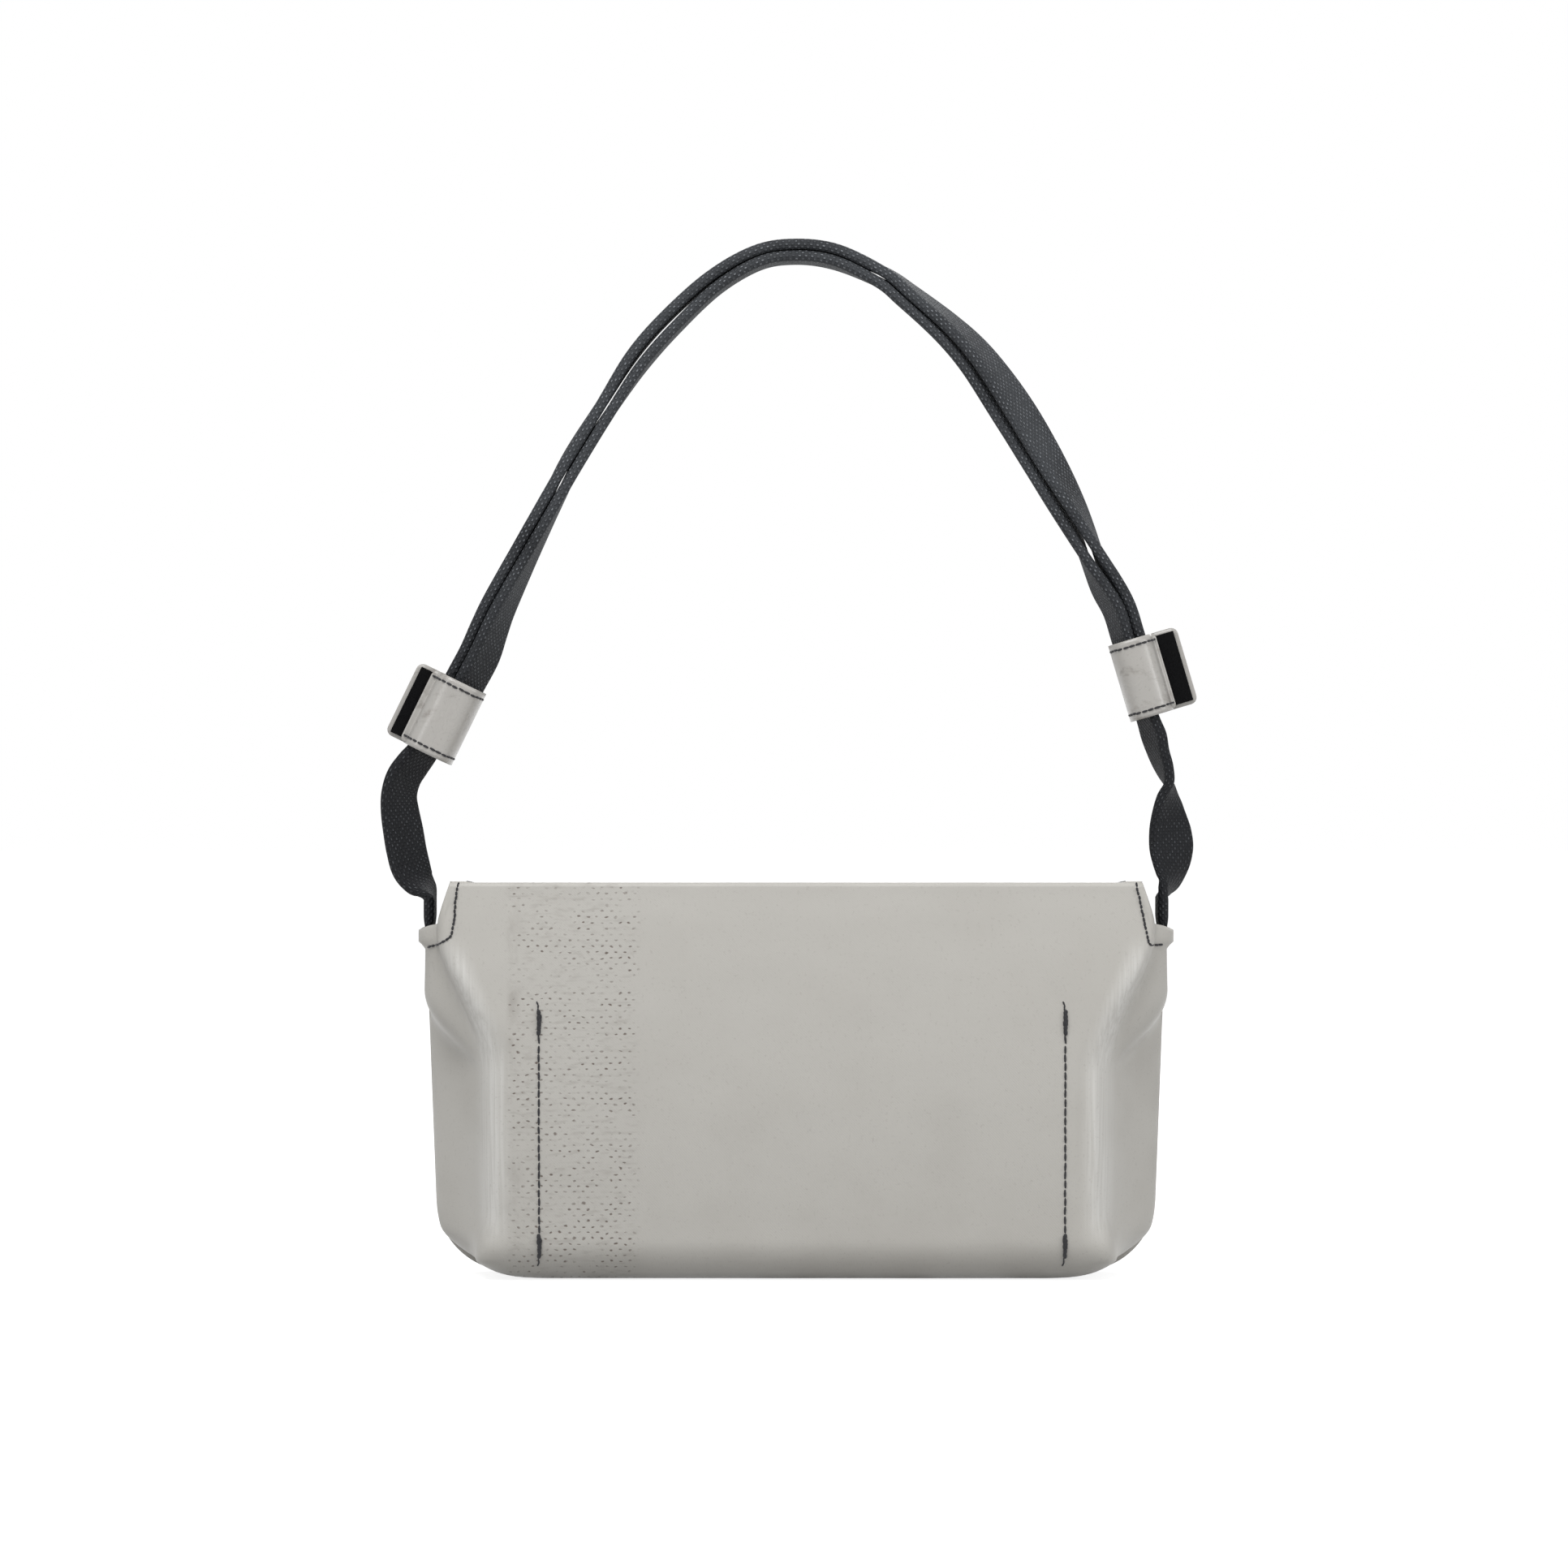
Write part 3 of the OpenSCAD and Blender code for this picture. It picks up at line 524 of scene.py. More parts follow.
def tarpaulin(name, base=TARP_COLOR, marks_and_ridge_highlight=False, wear=0.3, polish=0.0):
    """Worn PVC: dust clouds and grains over the colour, a faint weave and fine grain as bump. Polish is
    how much smoother than the bag the handled cloth has become."""
    material, tree, shader, place = new_material(name, base, 0.46, 0.35 + 1.5 * polish)
    dust = put_group(tree, GRIME, place, Cloud_Size=0.035, Grain_Share=wear)
    color = mix_color(tree, math_node(tree, "MULTIPLY", dust["Clouds"], 0.22), base, TARP_DUST)
    weave = put_group(tree, WEAVE, place, Pitch=0.0011)["Height"]
    grain, creases = noise_node(tree, place, 700, 3), noise_node(tree, place, 45, 3)
    height = math_node(tree, "MULTIPLY", weave, 0.06)
    for part, share in ((grain, 0.16), (creases, 2.2)):
        height = math_node(tree, "ADD", height, math_node(tree, "MULTIPLY", part, share))
    grains = math_node(tree, "MULTIPLY", dust["Grains"], 0.5)
    if polish:
        smears = noise_node(tree, stretch(tree, place, (75, 75, 150)), 1.0, 5, 0.7)
        smears = range_node(tree, smears, 0.53, 0.72, 0.0, 0.5)
        grains = math_node(tree, "MAXIMUM", grains, smears)
    if marks_and_ridge_highlight:
        marks, spots, band = road_marks(tree, place)
        # Painted highlight: a lighter colour along the ridges.
        color = mix_color(tree, ridge_painted_highlight(tree, place), color, TARP_PAINTED_HIGHLIGHT)
        grains = math_node(tree, "MAXIMUM", grains, marks)
        dents = math_node(tree, "MULTIPLY", math_node(tree, "MULTIPLY", spots, band), -0.8)
        height = math_node(tree, "ADD", height, dents)
    tree.links.new(mix_color(tree, grains, color, TARP_DIRT), shader.inputs["Base Color"])
    roughness = range_node(tree, dust["Clouds"], 0, 1, 0.4 - polish, 0.56 - polish)
    tree.links.new(roughness, shader.inputs["Roughness"])
    add_bump(tree, shader, height, 0.00012)
    return material


BAG_TARP, CLEAN_TARP = tarpaulin("tarpaulin_back", marks_and_ridge_highlight=True), tarpaulin("tarpaulin")
CUFF_TARP = tarpaulin("tarpaulin_cuffs", CUFF_COLOR, wear=0.5, polish=0.16)
print("tarpaulins:", BAG_TARP.name, CLEAN_TARP.name, CUFF_TARP.name)

# %% [markdown]
# The strap is black webbing, woven of thick yarn: ribs run along it, and short floats cross them in
# steps. A pattern on Object coordinates would cut across the twisted tape, so this one reads the tape's
# own UV map. Painted light greys the arch more than the low ends, and painted highlights lie on its float
# tips.

# %% Thread and webbing
def thread_material():
    """Black polyester yarn: a very fine noise gives its fuzz."""
    material, tree, shader, place = new_material("thread", (0.012, 0.012, 0.014), 0.6, 0.35)
    fine = noise_node(tree, place, 2500, 2)
    yarn = mix_color(tree, fine, (0.008, 0.008, 0.010), (0.035, 0.035, 0.04))
    tree.links.new(yarn, shader.inputs["Base Color"])
    add_bump(tree, shader, fine, 0.0001)
    shader.inputs["Sheen Weight"].default_value = 0.2
    return material


# So wide that 34 ribs go once round a tape 20.5 mm wide and 4.5 mm thick, with round edges.
RIB, FLOAT_L = 1.357 * MM, 2.6 * MM


def webbing_material():
    """Ribs along the tape, crossed by short raised floats that are staggered from rib to rib. Painted
    light greys the arch, and painted highlights lie on the float tips there. The UV map holds metres across
    and along."""
    material, tree, shader, place = new_material("webbing", (0.035, 0.037, 0.045), 0.66, 0.22)
    uv = tree.nodes.new("ShaderNodeUVMap")
    uv.uv_map = "cloth"
    across, along, _ = split(tree, uv.outputs[0])
    rib = math_node(tree, "DIVIDE", across, RIB)
    odd = math_node(tree, "FLOORED_MODULO", math_node(tree, "FLOOR", rib), 2.0)
    step = math_node(tree, "DIVIDE", along, FLOAT_L)
    step = math_node(tree, "ADD", step, math_node(tree, "MULTIPLY", odd, 0.5))
    float_wave = math_node(tree, "SINE", math_node(tree, "MULTIPLY", step, 6.2832))
    rib_wave = math_node(tree, "SINE", math_node(tree, "MULTIPLY", math_node(tree, "FRACT", rib), 3.1416))
    raised = math_node(tree, "MULTIPLY", rib_wave, range_node(tree, float_wave, -0.5, 0.7))
    uneven = noise_node(tree, place, 420, 2)
    # Painted light: a mask that rises with height, so the arch comes out lighter than the low ends.
    painted_light_high = range_node(tree, split(tree, place)[2], 0.19, 0.34, 0.3, 1.0)
    # Painted highlights: a light colour on the tips of the raised floats, strongest on the arch.
    tips = range_node(tree, raised, 0.62, 0.98)
    tips = math_node(tree, "MULTIPLY", tips, range_node(tree, uneven, 0.38, 0.62, 0.15, 1.0))
    tips = math_node(tree, "MULTIPLY", tips, painted_light_high)
    # Painted light in patches, greyer on the arch.
    patchy = range_node(tree, noise_node(tree, place, 30, 2), 0.2, 0.6, 0.3, 1.0)
    patchy = math_node(tree, "MULTIPLY", patchy, math_node(tree, "POWER", painted_light_high, 2.0))
    yarn = mix_color(tree, patchy, (0.008, 0.0085, 0.0105), (0.052, 0.056, 0.062))
    tree.links.new(mix_color(tree, tips, yarn, (0.21, 0.222, 0.24)), shader.inputs["Base Color"])
    add_bump(tree, shader, math_node(tree, "ADD", raised, math_node(tree, "MULTIPLY", uneven, 0.3)), 0.00035)
    return material


THREAD, WEBBING = thread_material(), webbing_material()
print("yarns:", THREAD.name, WEBBING.name)

# %% [markdown]
# Hook tape is a field of stiff hooks, and loop tape one of soft loops. From a hand's distance both are
# only a rough black surface, so a noise of the right size does it. The pocket inside is plain cloth.

# %% Tapes and lining
def tape_material(name, size, color, light):
    """Hook or loop tape: a bristling surface whose tips catch the light."""
    material, tree, shader, place = new_material(name, color, 0.8, 0.12)
    tips = range_node(tree, noise_node(tree, place, size, 4, 0.7), 0.5, 0.72)
    tree.links.new(mix_color(tree, tips, color, light), shader.inputs["Base Color"])
    add_bump(tree, shader, tips, 0.0006)
    return material


def lining_material():
    """Dark grey plain-woven pocket cloth."""
    material, tree, shader, place = new_material("lining", (0.12, 0.125, 0.135), 0.8, 0.25)
    weave = put_group(tree, WEAVE, place, Pitch=0.0007)["Height"]
    shade = mix_color(tree, range_node(tree, weave, -1, 1), (0.09, 0.095, 0.10), (0.15, 0.155, 0.165))
    tree.links.new(shade, shader.inputs["Base Color"])
    add_bump(tree, shader, weave, 0.0002)
    return material


LINING = lining_material()
HOOK_TAPE = tape_material("hook_tape", 1500, (0.003, 0.003, 0.0035), (0.02, 0.02, 0.022))
LOOP_TAPE = tape_material("loop_tape", 800, (0.005, 0.005, 0.0055), (0.03, 0.03, 0.033))
print("tapes and lining:", HOOK_TAPE.name, LOOP_TAPE.name, LINING.name)

# %% [markdown]
# ## The body sheet
# Back, gussets and bottom are one sheet. Seen from above, each half of it is a line: from the front
# seam along the seam allowance, up the gusset, round a soft ridge and across the flat back. We write
# that line as a function of a share along it and of the height, and read it on a grid. The sheet's top
# edge falls from the fold to the mouth at the ridge, which makes the notched ears.

# %% The body's sizes and its outline
TOP_W, BOTTOM_W, MOUTH_H, FOLD_H, DEPTH = 311, 300, 145.5, 164.2, 50
CORNER_R, UNDER_R, BACK_W, FOOT_W, FLAP_W, FRONT_Y = 30, 17, 250, 18, 287, 22
TARP_T, SEAM_W, HEM_RISE, BACK_BOW, LAY = 1.0, 7, 0.45, 5, 0.2
STRAP_W, STRAP_T, TAIL_X, TAIL_L, PIVOT_H = 20.5, 4.5, 152.3, 26, 157.0
BACK_Y = FRONT_Y - DEPTH
PUFF_X, BAND_PUFF, FLARE_FROM, FLARE_RISE = 153.9, 2.4, 86, 60
FOLD_R, BILLOW, BILLOW_AT = 2.0, 9.5, 0.22


def drawn_in(z, r):
    """How far a rounded edge of radius r has drawn in at height z above its tangent."""
    low = np.clip(r - z, 0, r)
    return r - np.sqrt(r * r - low * low)


def seam_x(z):
    """Half width at the front seam: straight from bottom to top, rounded at the bottom corner."""
    return mix(BOTTOM_W, TOP_W, np.minimum(1, z / MOUTH_H)) / 2 - drawn_in(z, CORNER_R)


def back_x(z):
    """Half width at the ridge between back and gusset, which flares out under the ears."""
    flare = ease((z - FLARE_FROM) / FLARE_RISE)
    return np.minimum(mix(BACK_W + FOOT_W * ease(1 - z / CORNER_R), FLAP_W + 9, flare) / 2, seam_x(z) - 8)


def back_line(z):
    """Y of the back: bowed out between its edges and turned under at the bottom."""
    return BACK_Y - BACK_BOW * np.sin(np.pi * z / FOLD_H) + drawn_in(z, UNDER_R)


def puff(y, z, root, ridge):
    """How far the gusset stands out round the sewn strap end. The hem band above it stands out more."""
    band = ease((z - MOUTH_H + SEAM_W + 1.5) / 2.5) - 0.45 * ease((z - MOUTH_H + 2) / 2) ** 2
    lack = PUFF_X + BAND_PUFF * band - ridge - (root - ridge) * (y - BACK_Y) / DEPTH
    return np.maximum(0, lack) * ease((z - 84) / 36) * np.maximum(0, 1 - (np.abs(y) / 21) ** 4)


def swell(b, z):
    """The gusset's billow, A (b/p) e^(1 - b/p) (1 - b^2), highest near the front seam at share p. It
    fades out at the foot and under the strap."""
    round_it = (b / BILLOW_AT) * np.exp(1 - b / BILLOW_AT) * (1 - b * b)
    return BILLOW * round_it * ease(z / 20) * (1 - ease((z - 100) / 38))


print("half widths at mouth and foot:", seam_x(MOUTH_H), round(float(seam_x(CORNER_R)), 1), "mm")

# %% [markdown]
# The outline's four stretches share one number f from 0 to 1, and each has its own share of it. Where
# two bulges meet on the gusset, a plain sum would be too far and a maximum would leave a crease. A high
# root, $(a^6 + b^6)^{1/6}$, follows the larger one with a soft change between them.

# %% One half of the outline
LIP_SHARE, GUSSET_SHARE, BEND_SHARE = 0.06, 0.42, 0.56


def half_line(f, z):
    """(x, y) at share f along the half outline at height z: allowance, gusset, ridge bend, flat back."""
    root_x, front, ridge, line = seam_x(z) - SEAM_W, FRONT_Y - TARP_T, back_x(z), back_line(z)
    flare = ease((z - FLARE_FROM) / FLARE_RISE)
    r = mix(13, 5.5, flare)
    slant = np.hypot(ridge - root_x, line - front)
    edge_x, edge_y = ridge + (root_x - ridge) * r / slant, line + (front - line) * r / slant
    flat_x = ridge - r
    a = np.clip(f / LIP_SHARE, 0, 1)
    b = np.clip((f - LIP_SHARE) / (GUSSET_SHARE - LIP_SHARE), 0, 1)
    c = np.clip((f - GUSSET_SHARE) / (BEND_SHARE - GUSSET_SHARE), 0, 1)
    d = np.clip((f - BEND_SHARE) / (1 - BEND_SHARE), 0, 1)
    gusset_x, gusset_y = mix(root_x, edge_x, b), mix(front, edge_y, b)
    gusset_x = gusset_x + (puff(gusset_y, z, root_x, ridge) ** 6 + swell(b, z) ** 6) ** (1 / 6)
    bend_x = mix(mix(edge_x, ridge, c), mix(ridge, flat_x, c), c)
    bend_y = mix(mix(edge_y, line, c), line, c)
    ends = [f < LIP_SHARE, f < GUSSET_SHARE, f < BEND_SHARE]
    x = np.select(ends, [mix(seam_x(z), root_x, a), gusset_x, bend_x], flat_x * (1 - d))
    y = np.select(ends, [front + 0 * x, gusset_y, bend_y], line)
    return x, y


print("shares of lip, gusset and bend:", LIP_SHARE, GUSSET_SHARE, BEND_SHARE)

# %% [markdown]
# Now the outline is read on a grid of shares and heights. A few bells press listed creases into the
# back beside its ridges, and two layers of wavering make it an old sheet. Below, the grid is closed by
# rows drawn in to the bottom's front line, and above it turns over the fold.

# %% The body sheet's surface
CREASES = ((0.9, 124, 2.2, 70, 26), (-0.8, 118, 2.6, 62, 30), (0.5, -124, 3.0, 42, 26))


def hem(far):
    """Extra height of a turned hem at distance far from the edge: a soft step one hem width in."""
    return HEM_RISE * ease((SEAM_W + 1 - far) / 1.5)


def top_edge(f):
    """Height of the sheet's top edge: the mouth with a slight dip, and past it a curve up to the fold."""
    b = np.clip((f - LIP_SHARE) / (GUSSET_SHARE - LIP_SHARE), 0, 1)
    c = np.clip((f - GUSSET_SHARE) / (BEND_SHARE - GUSSET_SHARE - 0.005), 0, 1)
    ear = MOUTH_H - 1.9 * bump(b, 0.5, 0.24) + 1.8 * ease((b - 0.72) / 0.28)
    return mix(ear, FOLD_H, 0.3 * c + 0.7 * c * c)


def body_points(side, f, z):
    """Points of the body sheet on one side: the outline, less its creases (deep, x, width, z, length),
    plus wavering, plus the hem's extra thickness along the top edge."""
    x, y = half_line(f, z)
    sx = side * x
    back = ease((f - GUSSET_SHARE) / 0.1)
    wrinkle = sum(deep * bump(sx, at, wide) * bump(z, up, long) for deep, at, wide, up, long in CREASES)
    pucker = 1.2 * bump(np.abs(sx), 131, 7) * bump(z, 13, 7)
    waver = noise(4, sx, z, size=55) * 0.5 + noise(9, sx, z, size=17) * 0.12
    y = y - (wrinkle * back) - pucker + waver * back
    band = hem(top_edge(f) - z) * (f < BEND_SHARE + 0.01) * (f > LIP_SHARE)
    return np.stack([sx + side * band * (f < GUSSET_SHARE), y - band * (f >= GUSSET_SHARE), z], -1) * MM


def body_sheet():
    """Outer face of the back, gussets and bottom as one closed-up grid."""
    half = np.concatenate([np.linspace(0, LIP_SHARE, 5)[:-1], np.linspace(LIP_SHARE, GUSSET_SHARE, 34)[:-1],
                           np.linspace(GUSSET_SHARE, BEND_SHARE, 22)[:-1], np.linspace(BEND_SHARE, 1, 44)])
    share = np.concatenate([half, half[-2::-1]])
    side = np.concatenate([-np.ones(len(half)), np.ones(len(half) - 1)])
    rise = np.concatenate([1 - np.cos(np.linspace(0, np.pi / 2, 16)[:-1]), [1.0]]) * 0.1
    rise = np.concatenate([rise[:-1], np.linspace(0.1, 1, 84)])
    z = rise[:, None] * top_edge(share)[None, :]
    grid = body_points(side[None, :], share[None, :], z)
    foot = grid[0] * [0.93, 0, 0] + [0, (FRONT_Y - 0.7 * TARP_T) * MM, 0]
    under = [mix(grid[0], foot, f) for f in (1.0, 0.8, 0.55, 0.3, 0.12)]
    flat = share > BEND_SHARE
    bent = [FOLD_R * MM * np.array([0, 1 - np.cos(a), np.sin(a) - 1]) for a in np.linspace(0, np.pi / 2, 8)]
    turn = [np.where(flat[:, None], grid[-1] + step, grid[-1]) for step in bent]
    room = [0, 0, FOLD_R * MM] * ease((rise[:-1, None, None] - 0.9) / 0.1)
    low = np.where(flat[None, :, None], grid[:-1] - room, grid[:-1])
    points = np.concatenate([np.stack(under), low, np.stack(turn)])
    rows, cols = points.shape[:2]
    sheet = make_mesh("body_sheet", points.reshape(-1, 3), grid_faces(rows, cols), BAG_TARP)
    return thicken(welded(sheet), TARP_T * MM)


body = dress(body_sheet(), "back_panel", "bag")

# %% [markdown]
# ## The front panel
# It is sewn flat along its edges and stands off in its middle, as a cushion does. Its mouth has a
# turned hem, so a band along that edge is twice as thick. Small puckers follow the stitches of the seam.

# %% The front panel
PANEL_Y, PANEL_LOW, FRONT_CROWN, STITCH = 23.2, 1.2, 6.8, 3.7


def crown(x, z):
    """The panel stands off by 1 - u^4 across and 1 - w^4 up, from its seams to its middle."""
    u = np.clip(np.abs(x) / (seam_x(z) - SEAM_W), 0, 1)
    w = np.clip(np.abs(2 * (z - PANEL_LOW) / (MOUTH_H - PANEL_LOW) - 1), 0, 1)
    return FRONT_CROWN * (1 - u ** 4) * (1 - w ** 4)


def front_sheet():
    """The front panel's outer face, with its bottom allowance turned under."""
    u = np.linspace(1, -1, 141)[None, :]
    z = mix(PANEL_LOW, MOUTH_H, np.linspace(0, 1, 90)[:, None] ** 1.15)
    x = u * seam_x(z)
    calm = ease(crown(x, z) / 3)
    y = PANEL_Y + crown(x, z) + hem(MOUTH_H - z) + noise(21, x, z, size=40) * 0.5 * calm
    y = y - 0.25 * np.cos(z * 2 * np.pi / STITCH) * bump(np.abs(x), seam_x(z) - 9, 3) * calm
    grid = np.stack([x, y, z + 0 * u], -1)
    foot = [grid[0] * [0.99, 0, 0] + [0, FRONT_Y - f, PANEL_LOW] for f in (SEAM_W, 3, 0)]
    points = np.concatenate([np.stack(foot), grid]) * MM
    sheet = make_mesh("front_sheet", points.reshape(-1, 3), grid_faces(*points.shape[:2]), CLEAN_TARP)
    return thicken(welded(sheet), TARP_T * MM)


front = dress(front_sheet(), "front_panel", "bag")

# %% [markdown]
# ## The flap
# The flap carries on from the body's fold: over the top, round the front edge of the mouth and down. So
# its surface is a path in Y and Z times a width.

# %% The flap
FLAP_Y, FLAP_R, FLAP_END_W, FLAP_LOW, FLAP_CORNER, DROP_TOP = 34.7, 12.5, 252, 45, 20, 149.2


def flap_path(f):
    """(y, z) of the flap's outer face: 0 to 1 over the top, 1 to 2 round the bend, 2 to 3 down."""
    a, start = np.pi / 2 * np.clip(f - 1, 0, 1), BACK_Y + FOLD_R
    y = mix(start, FLAP_Y - FLAP_R, np.minimum(f, 1)) + FLAP_R * np.sin(a)
    z = np.where(f < 1, FOLD_H - (FOLD_H - DROP_TOP - FLAP_R) * f ** 1.2, DROP_TOP + FLAP_R * np.cos(a))
    return y, z - (DROP_TOP - FLAP_LOW) * np.maximum(f - 2, 0)


def flap_half(f):
    """Half width of the flap, with its rounded lower corners."""
    wide = mix(FLAP_W, FLAP_END_W, np.where(f < 2, f / 4, f / 2 - 0.5)) / 2 - 1.5 * (1 - ease(f / 0.15))
    return wide - drawn_in((3 - f) * (DROP_TOP - FLAP_LOW), FLAP_CORNER)


def flap_sheet():
    """The flap's outer face, with its hem bands, a soft wavering and a slight lift of its corners."""
    f = np.concatenate([np.linspace(0, 1, 26)[:-1], np.linspace(1, 2, 13)[:-1], np.linspace(2, 2.8, 34)[:-1],
                        3 - 0.2 * np.cos(np.linspace(0, np.pi / 2, 16))])[:, None]
    u = np.sin(np.linspace(-1, 1, 131) * 1.35)[None, :] / np.sin(1.35)
    x, (y, z) = u * flap_half(f), flap_path(f)
    far = np.minimum(flap_half(f) - np.abs(x), (3 - f) * (DROP_TOP - FLAP_LOW))
    loose = 0.5 * noise(31, x, 50 * f, size=60) + 0.8 * ease(f - 2) * u ** 4
    out = hem(far) + ease((f - 0.3) / 0.6) * loose
    down = np.clip(f - 1, 0, 1) * np.pi / 2
    points = np.stack([x, y + out * np.sin(down), z + out * np.cos(down)], -1) * MM
    sheet = make_mesh("flap_sheet", points.reshape(-1, 3), grid_faces(*points.shape[:2]), CLEAN_TARP)
    return thicken(sheet, TARP_T * MM)


flap = dress(flap_sheet(), "flap", None)
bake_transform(flap)

# %% [markdown]
# ## The inner pocket
# Only its two seams show outside. It is one sheet, folded at its bottom, with its back layer against
# the bag's back and its front layer gaping a little at the mouth.

# %% The inner pocket
POCKET_W, POCKET_TOP, POCKET_LOW, POCKET_T, POCKET_SHIFT = 216, 114, 8, 0.8, 2.4


def pocket_sheet():
    """One sheet down the back, round its bottom fold and up again. Its mouth gapes a little."""
    z = np.linspace(POCKET_TOP, POCKET_LOW + 1, 46)
    turn = np.linspace(0, np.pi, 9)[1:-1]
    rise = np.concatenate([z, POCKET_LOW + 1 - 0.7 * np.sin(turn), z[::-1]])[:, None]
    off = np.concatenate([z * 0, 0.7 * (1 - np.cos(turn)), z * 0 + 1.4])[:, None]
    u = np.linspace(-1, 1, 81)[None, :]
    x = POCKET_SHIFT + u * (POCKET_W / 2 + 3)
    gape = (off > 1.3) * 5.0 * (1 - u ** 2) ** 1.5 * ease((rise - 40) / 74)
    y = back_line(rise) + TARP_T + 0.6 + POCKET_T / 2 + off + gape
    points = np.stack([x + 0 * rise, y + 0 * u, rise + 0 * u], -1) * MM
    sheet = make_mesh("pocket_sheet", points.reshape(-1, 3), grid_faces(*points.shape[:2]), LINING)
    return thicken(sheet, POCKET_T * MM, 0)


pocket = dress(pocket_sheet(), "inner_pocket", "bag")

# %% [markdown]
# ## The two strands of webbing
# The strap is a curve in X and Z, in mm from the line on which it swings. Each point also has the tape's
# turn in degrees and a spare gap between the strands. A cubic curve runs through all of them:
# $p(f) = b + \frac{f}{2}(c - a + f(2a - 5b + 4c - d + f(3(b - c) + d - a)))$.
# The points a to d are the four around a place, and f is the share of the way from b to c.

# %% The strap's route
LEFT_AT, LEFT_LEAN, LEFT_CUFF_LEAN = (-145.9, 75), 28, 26
RIGHT_AT, RIGHT_LEAN, RIGHT_CUFF_LEAN = (143.6, 91.9), 17.5, 16.5


def on_cuff(at, lean, shifts, turn):
    """Points of the straight run through a cuff: its centre, moved along its lean."""
    a = np.radians(lean)
    return [(at[0] + s * np.sin(a), at[1] + s * np.cos(a), turn, 0) for s in shifts]


LEFT_END = [(-152.3, 0, 0, 0), (-153.8, 3.5, -14, 0), (-157.2, 7.5, -32, 0), (-160, 13, -44, 0),
            (-161.6, 20, -46, 0), (-162.7, 28, -46, 0), (-163.7, 36, -42, 0), (-163.8, 43, -37, 0),
            (-161.9, 49.4, -36, 0), (-158.2, 54.6, -34, 0)]
ARCH = [(-127.8, 112, -24, 0), (-123.5, 122.4, -18, 0), (-113.5, 142.7, -8, 0), (-103.2, 163, 0, 0),
        (-92.4, 183.2, 6, 0), (-79.6, 203.5, 4, 0), (-66.2, 223.8, 0, 0.5), (-52, 240, 0, 0.6),
        (-34, 256.5, 0, 0.2), (-16, 266.8, 0, 0), (0, 269.3, 0, 0), (17, 267, 0, 0), (36, 258.5, 6, 0),
        (46.5, 250.8, 12, 0), (62.9, 237.3, 20, 0.2), (75.8, 223.8, 28, 0.5), (90, 203.5, 36, 0.8),
        (102.3, 183.2, 34, 0.6), (113.3, 163, 22, 0.6), (123.3, 142.7, 2, 0.5), (129.3, 130.5, -12, 0.3)]
RIGHT_END = [(151.1, 68.3, -19, 0), (152.9, 61.6, -14, 0), (155.2, 54.8, -9, 0), (157, 48, 4, 0),
             (156.5, 41.3, 26, 0), (156.3, 34.5, 44, 0), (156.4, 27.8, 60, 0), (156.6, 21, 64, 0),
             (156.5, 14.2, 48, 0), (155.6, 7.6, 26, 0), (153.6, 3.4, 10, 0), (152.3, 0, 0, 0)]
ROUTE = np.array(LEFT_END + on_cuff(LEFT_AT, LEFT_LEAN, (-17, -6, 6, 18, 30), -30) + ARCH
                 + on_cuff(RIGHT_AT, -RIGHT_LEAN, (30, 18, 6, -6, -17), -15) + RIGHT_END, float)
LAST, CUFF_FIRST, CUFF_LAST = len(ROUTE) - 1, len(LEFT_END), len(ROUTE) - len(RIGHT_END) - 1
STRAND_OFF = STRAP_T / 2 + LAY


def route_at(i):
    """The cubic curve through the route, by the formula above. i holds whole points plus a share f."""
    ends = [[0, 4, 0, 0]]
    p = np.concatenate([ROUTE[:1] - ends, ROUTE, ROUTE[-1:] - ends])
    k = np.clip(np.floor(i), 0, LAST - 1).astype(int)
    f = (i - k)[:, None]
    a, b, c, d = p[k], p[k + 1], p[k + 2], p[k + 3]
    return b + 0.5 * f * (c - a + f * (2 * a - 5 * b + 4 * c - d + f * (3 * (b - c) + d - a)))


print("route:", len(ROUTE), "points, highest at", ROUTE[:, 1].max() + PIVOT_H, "mm")

# %% [markdown]
# A round bevel can't make a flat tape, so we sweep a flat section with round edges ourselves. At each
# point the tangent, the face's normal and the broad way make a frame, and the turn rotates the last two.
# The left strand lies outside and the right one inside. Each ends in the cuff at the other side. Below
# the mouth the tape is pressed thin, where the stitches hold it against the gusset.

# %% The two strands
PRESSED_T = 2.4


def tape_section(half_w, half_t):
    """(across, through) of a flat tape with round edges, once round, for arrays of half sizes."""
    bend = np.linspace(-np.pi / 2, np.pi / 2, 9)
    edge = half_w - half_t
    across = [edge * f for f in np.linspace(-1, 1, 13)[1:-1]]
    side = [(edge + half_t * np.cos(a), half_t * np.sin(a)) for a in bend]
    half = [(x, -half_t) for x in across] + side
    ring = half + [(-x, -y) for x, y in half]
    return np.stack([np.stack(np.broadcast_arrays(*pair), -1) for pair in ring], 1)


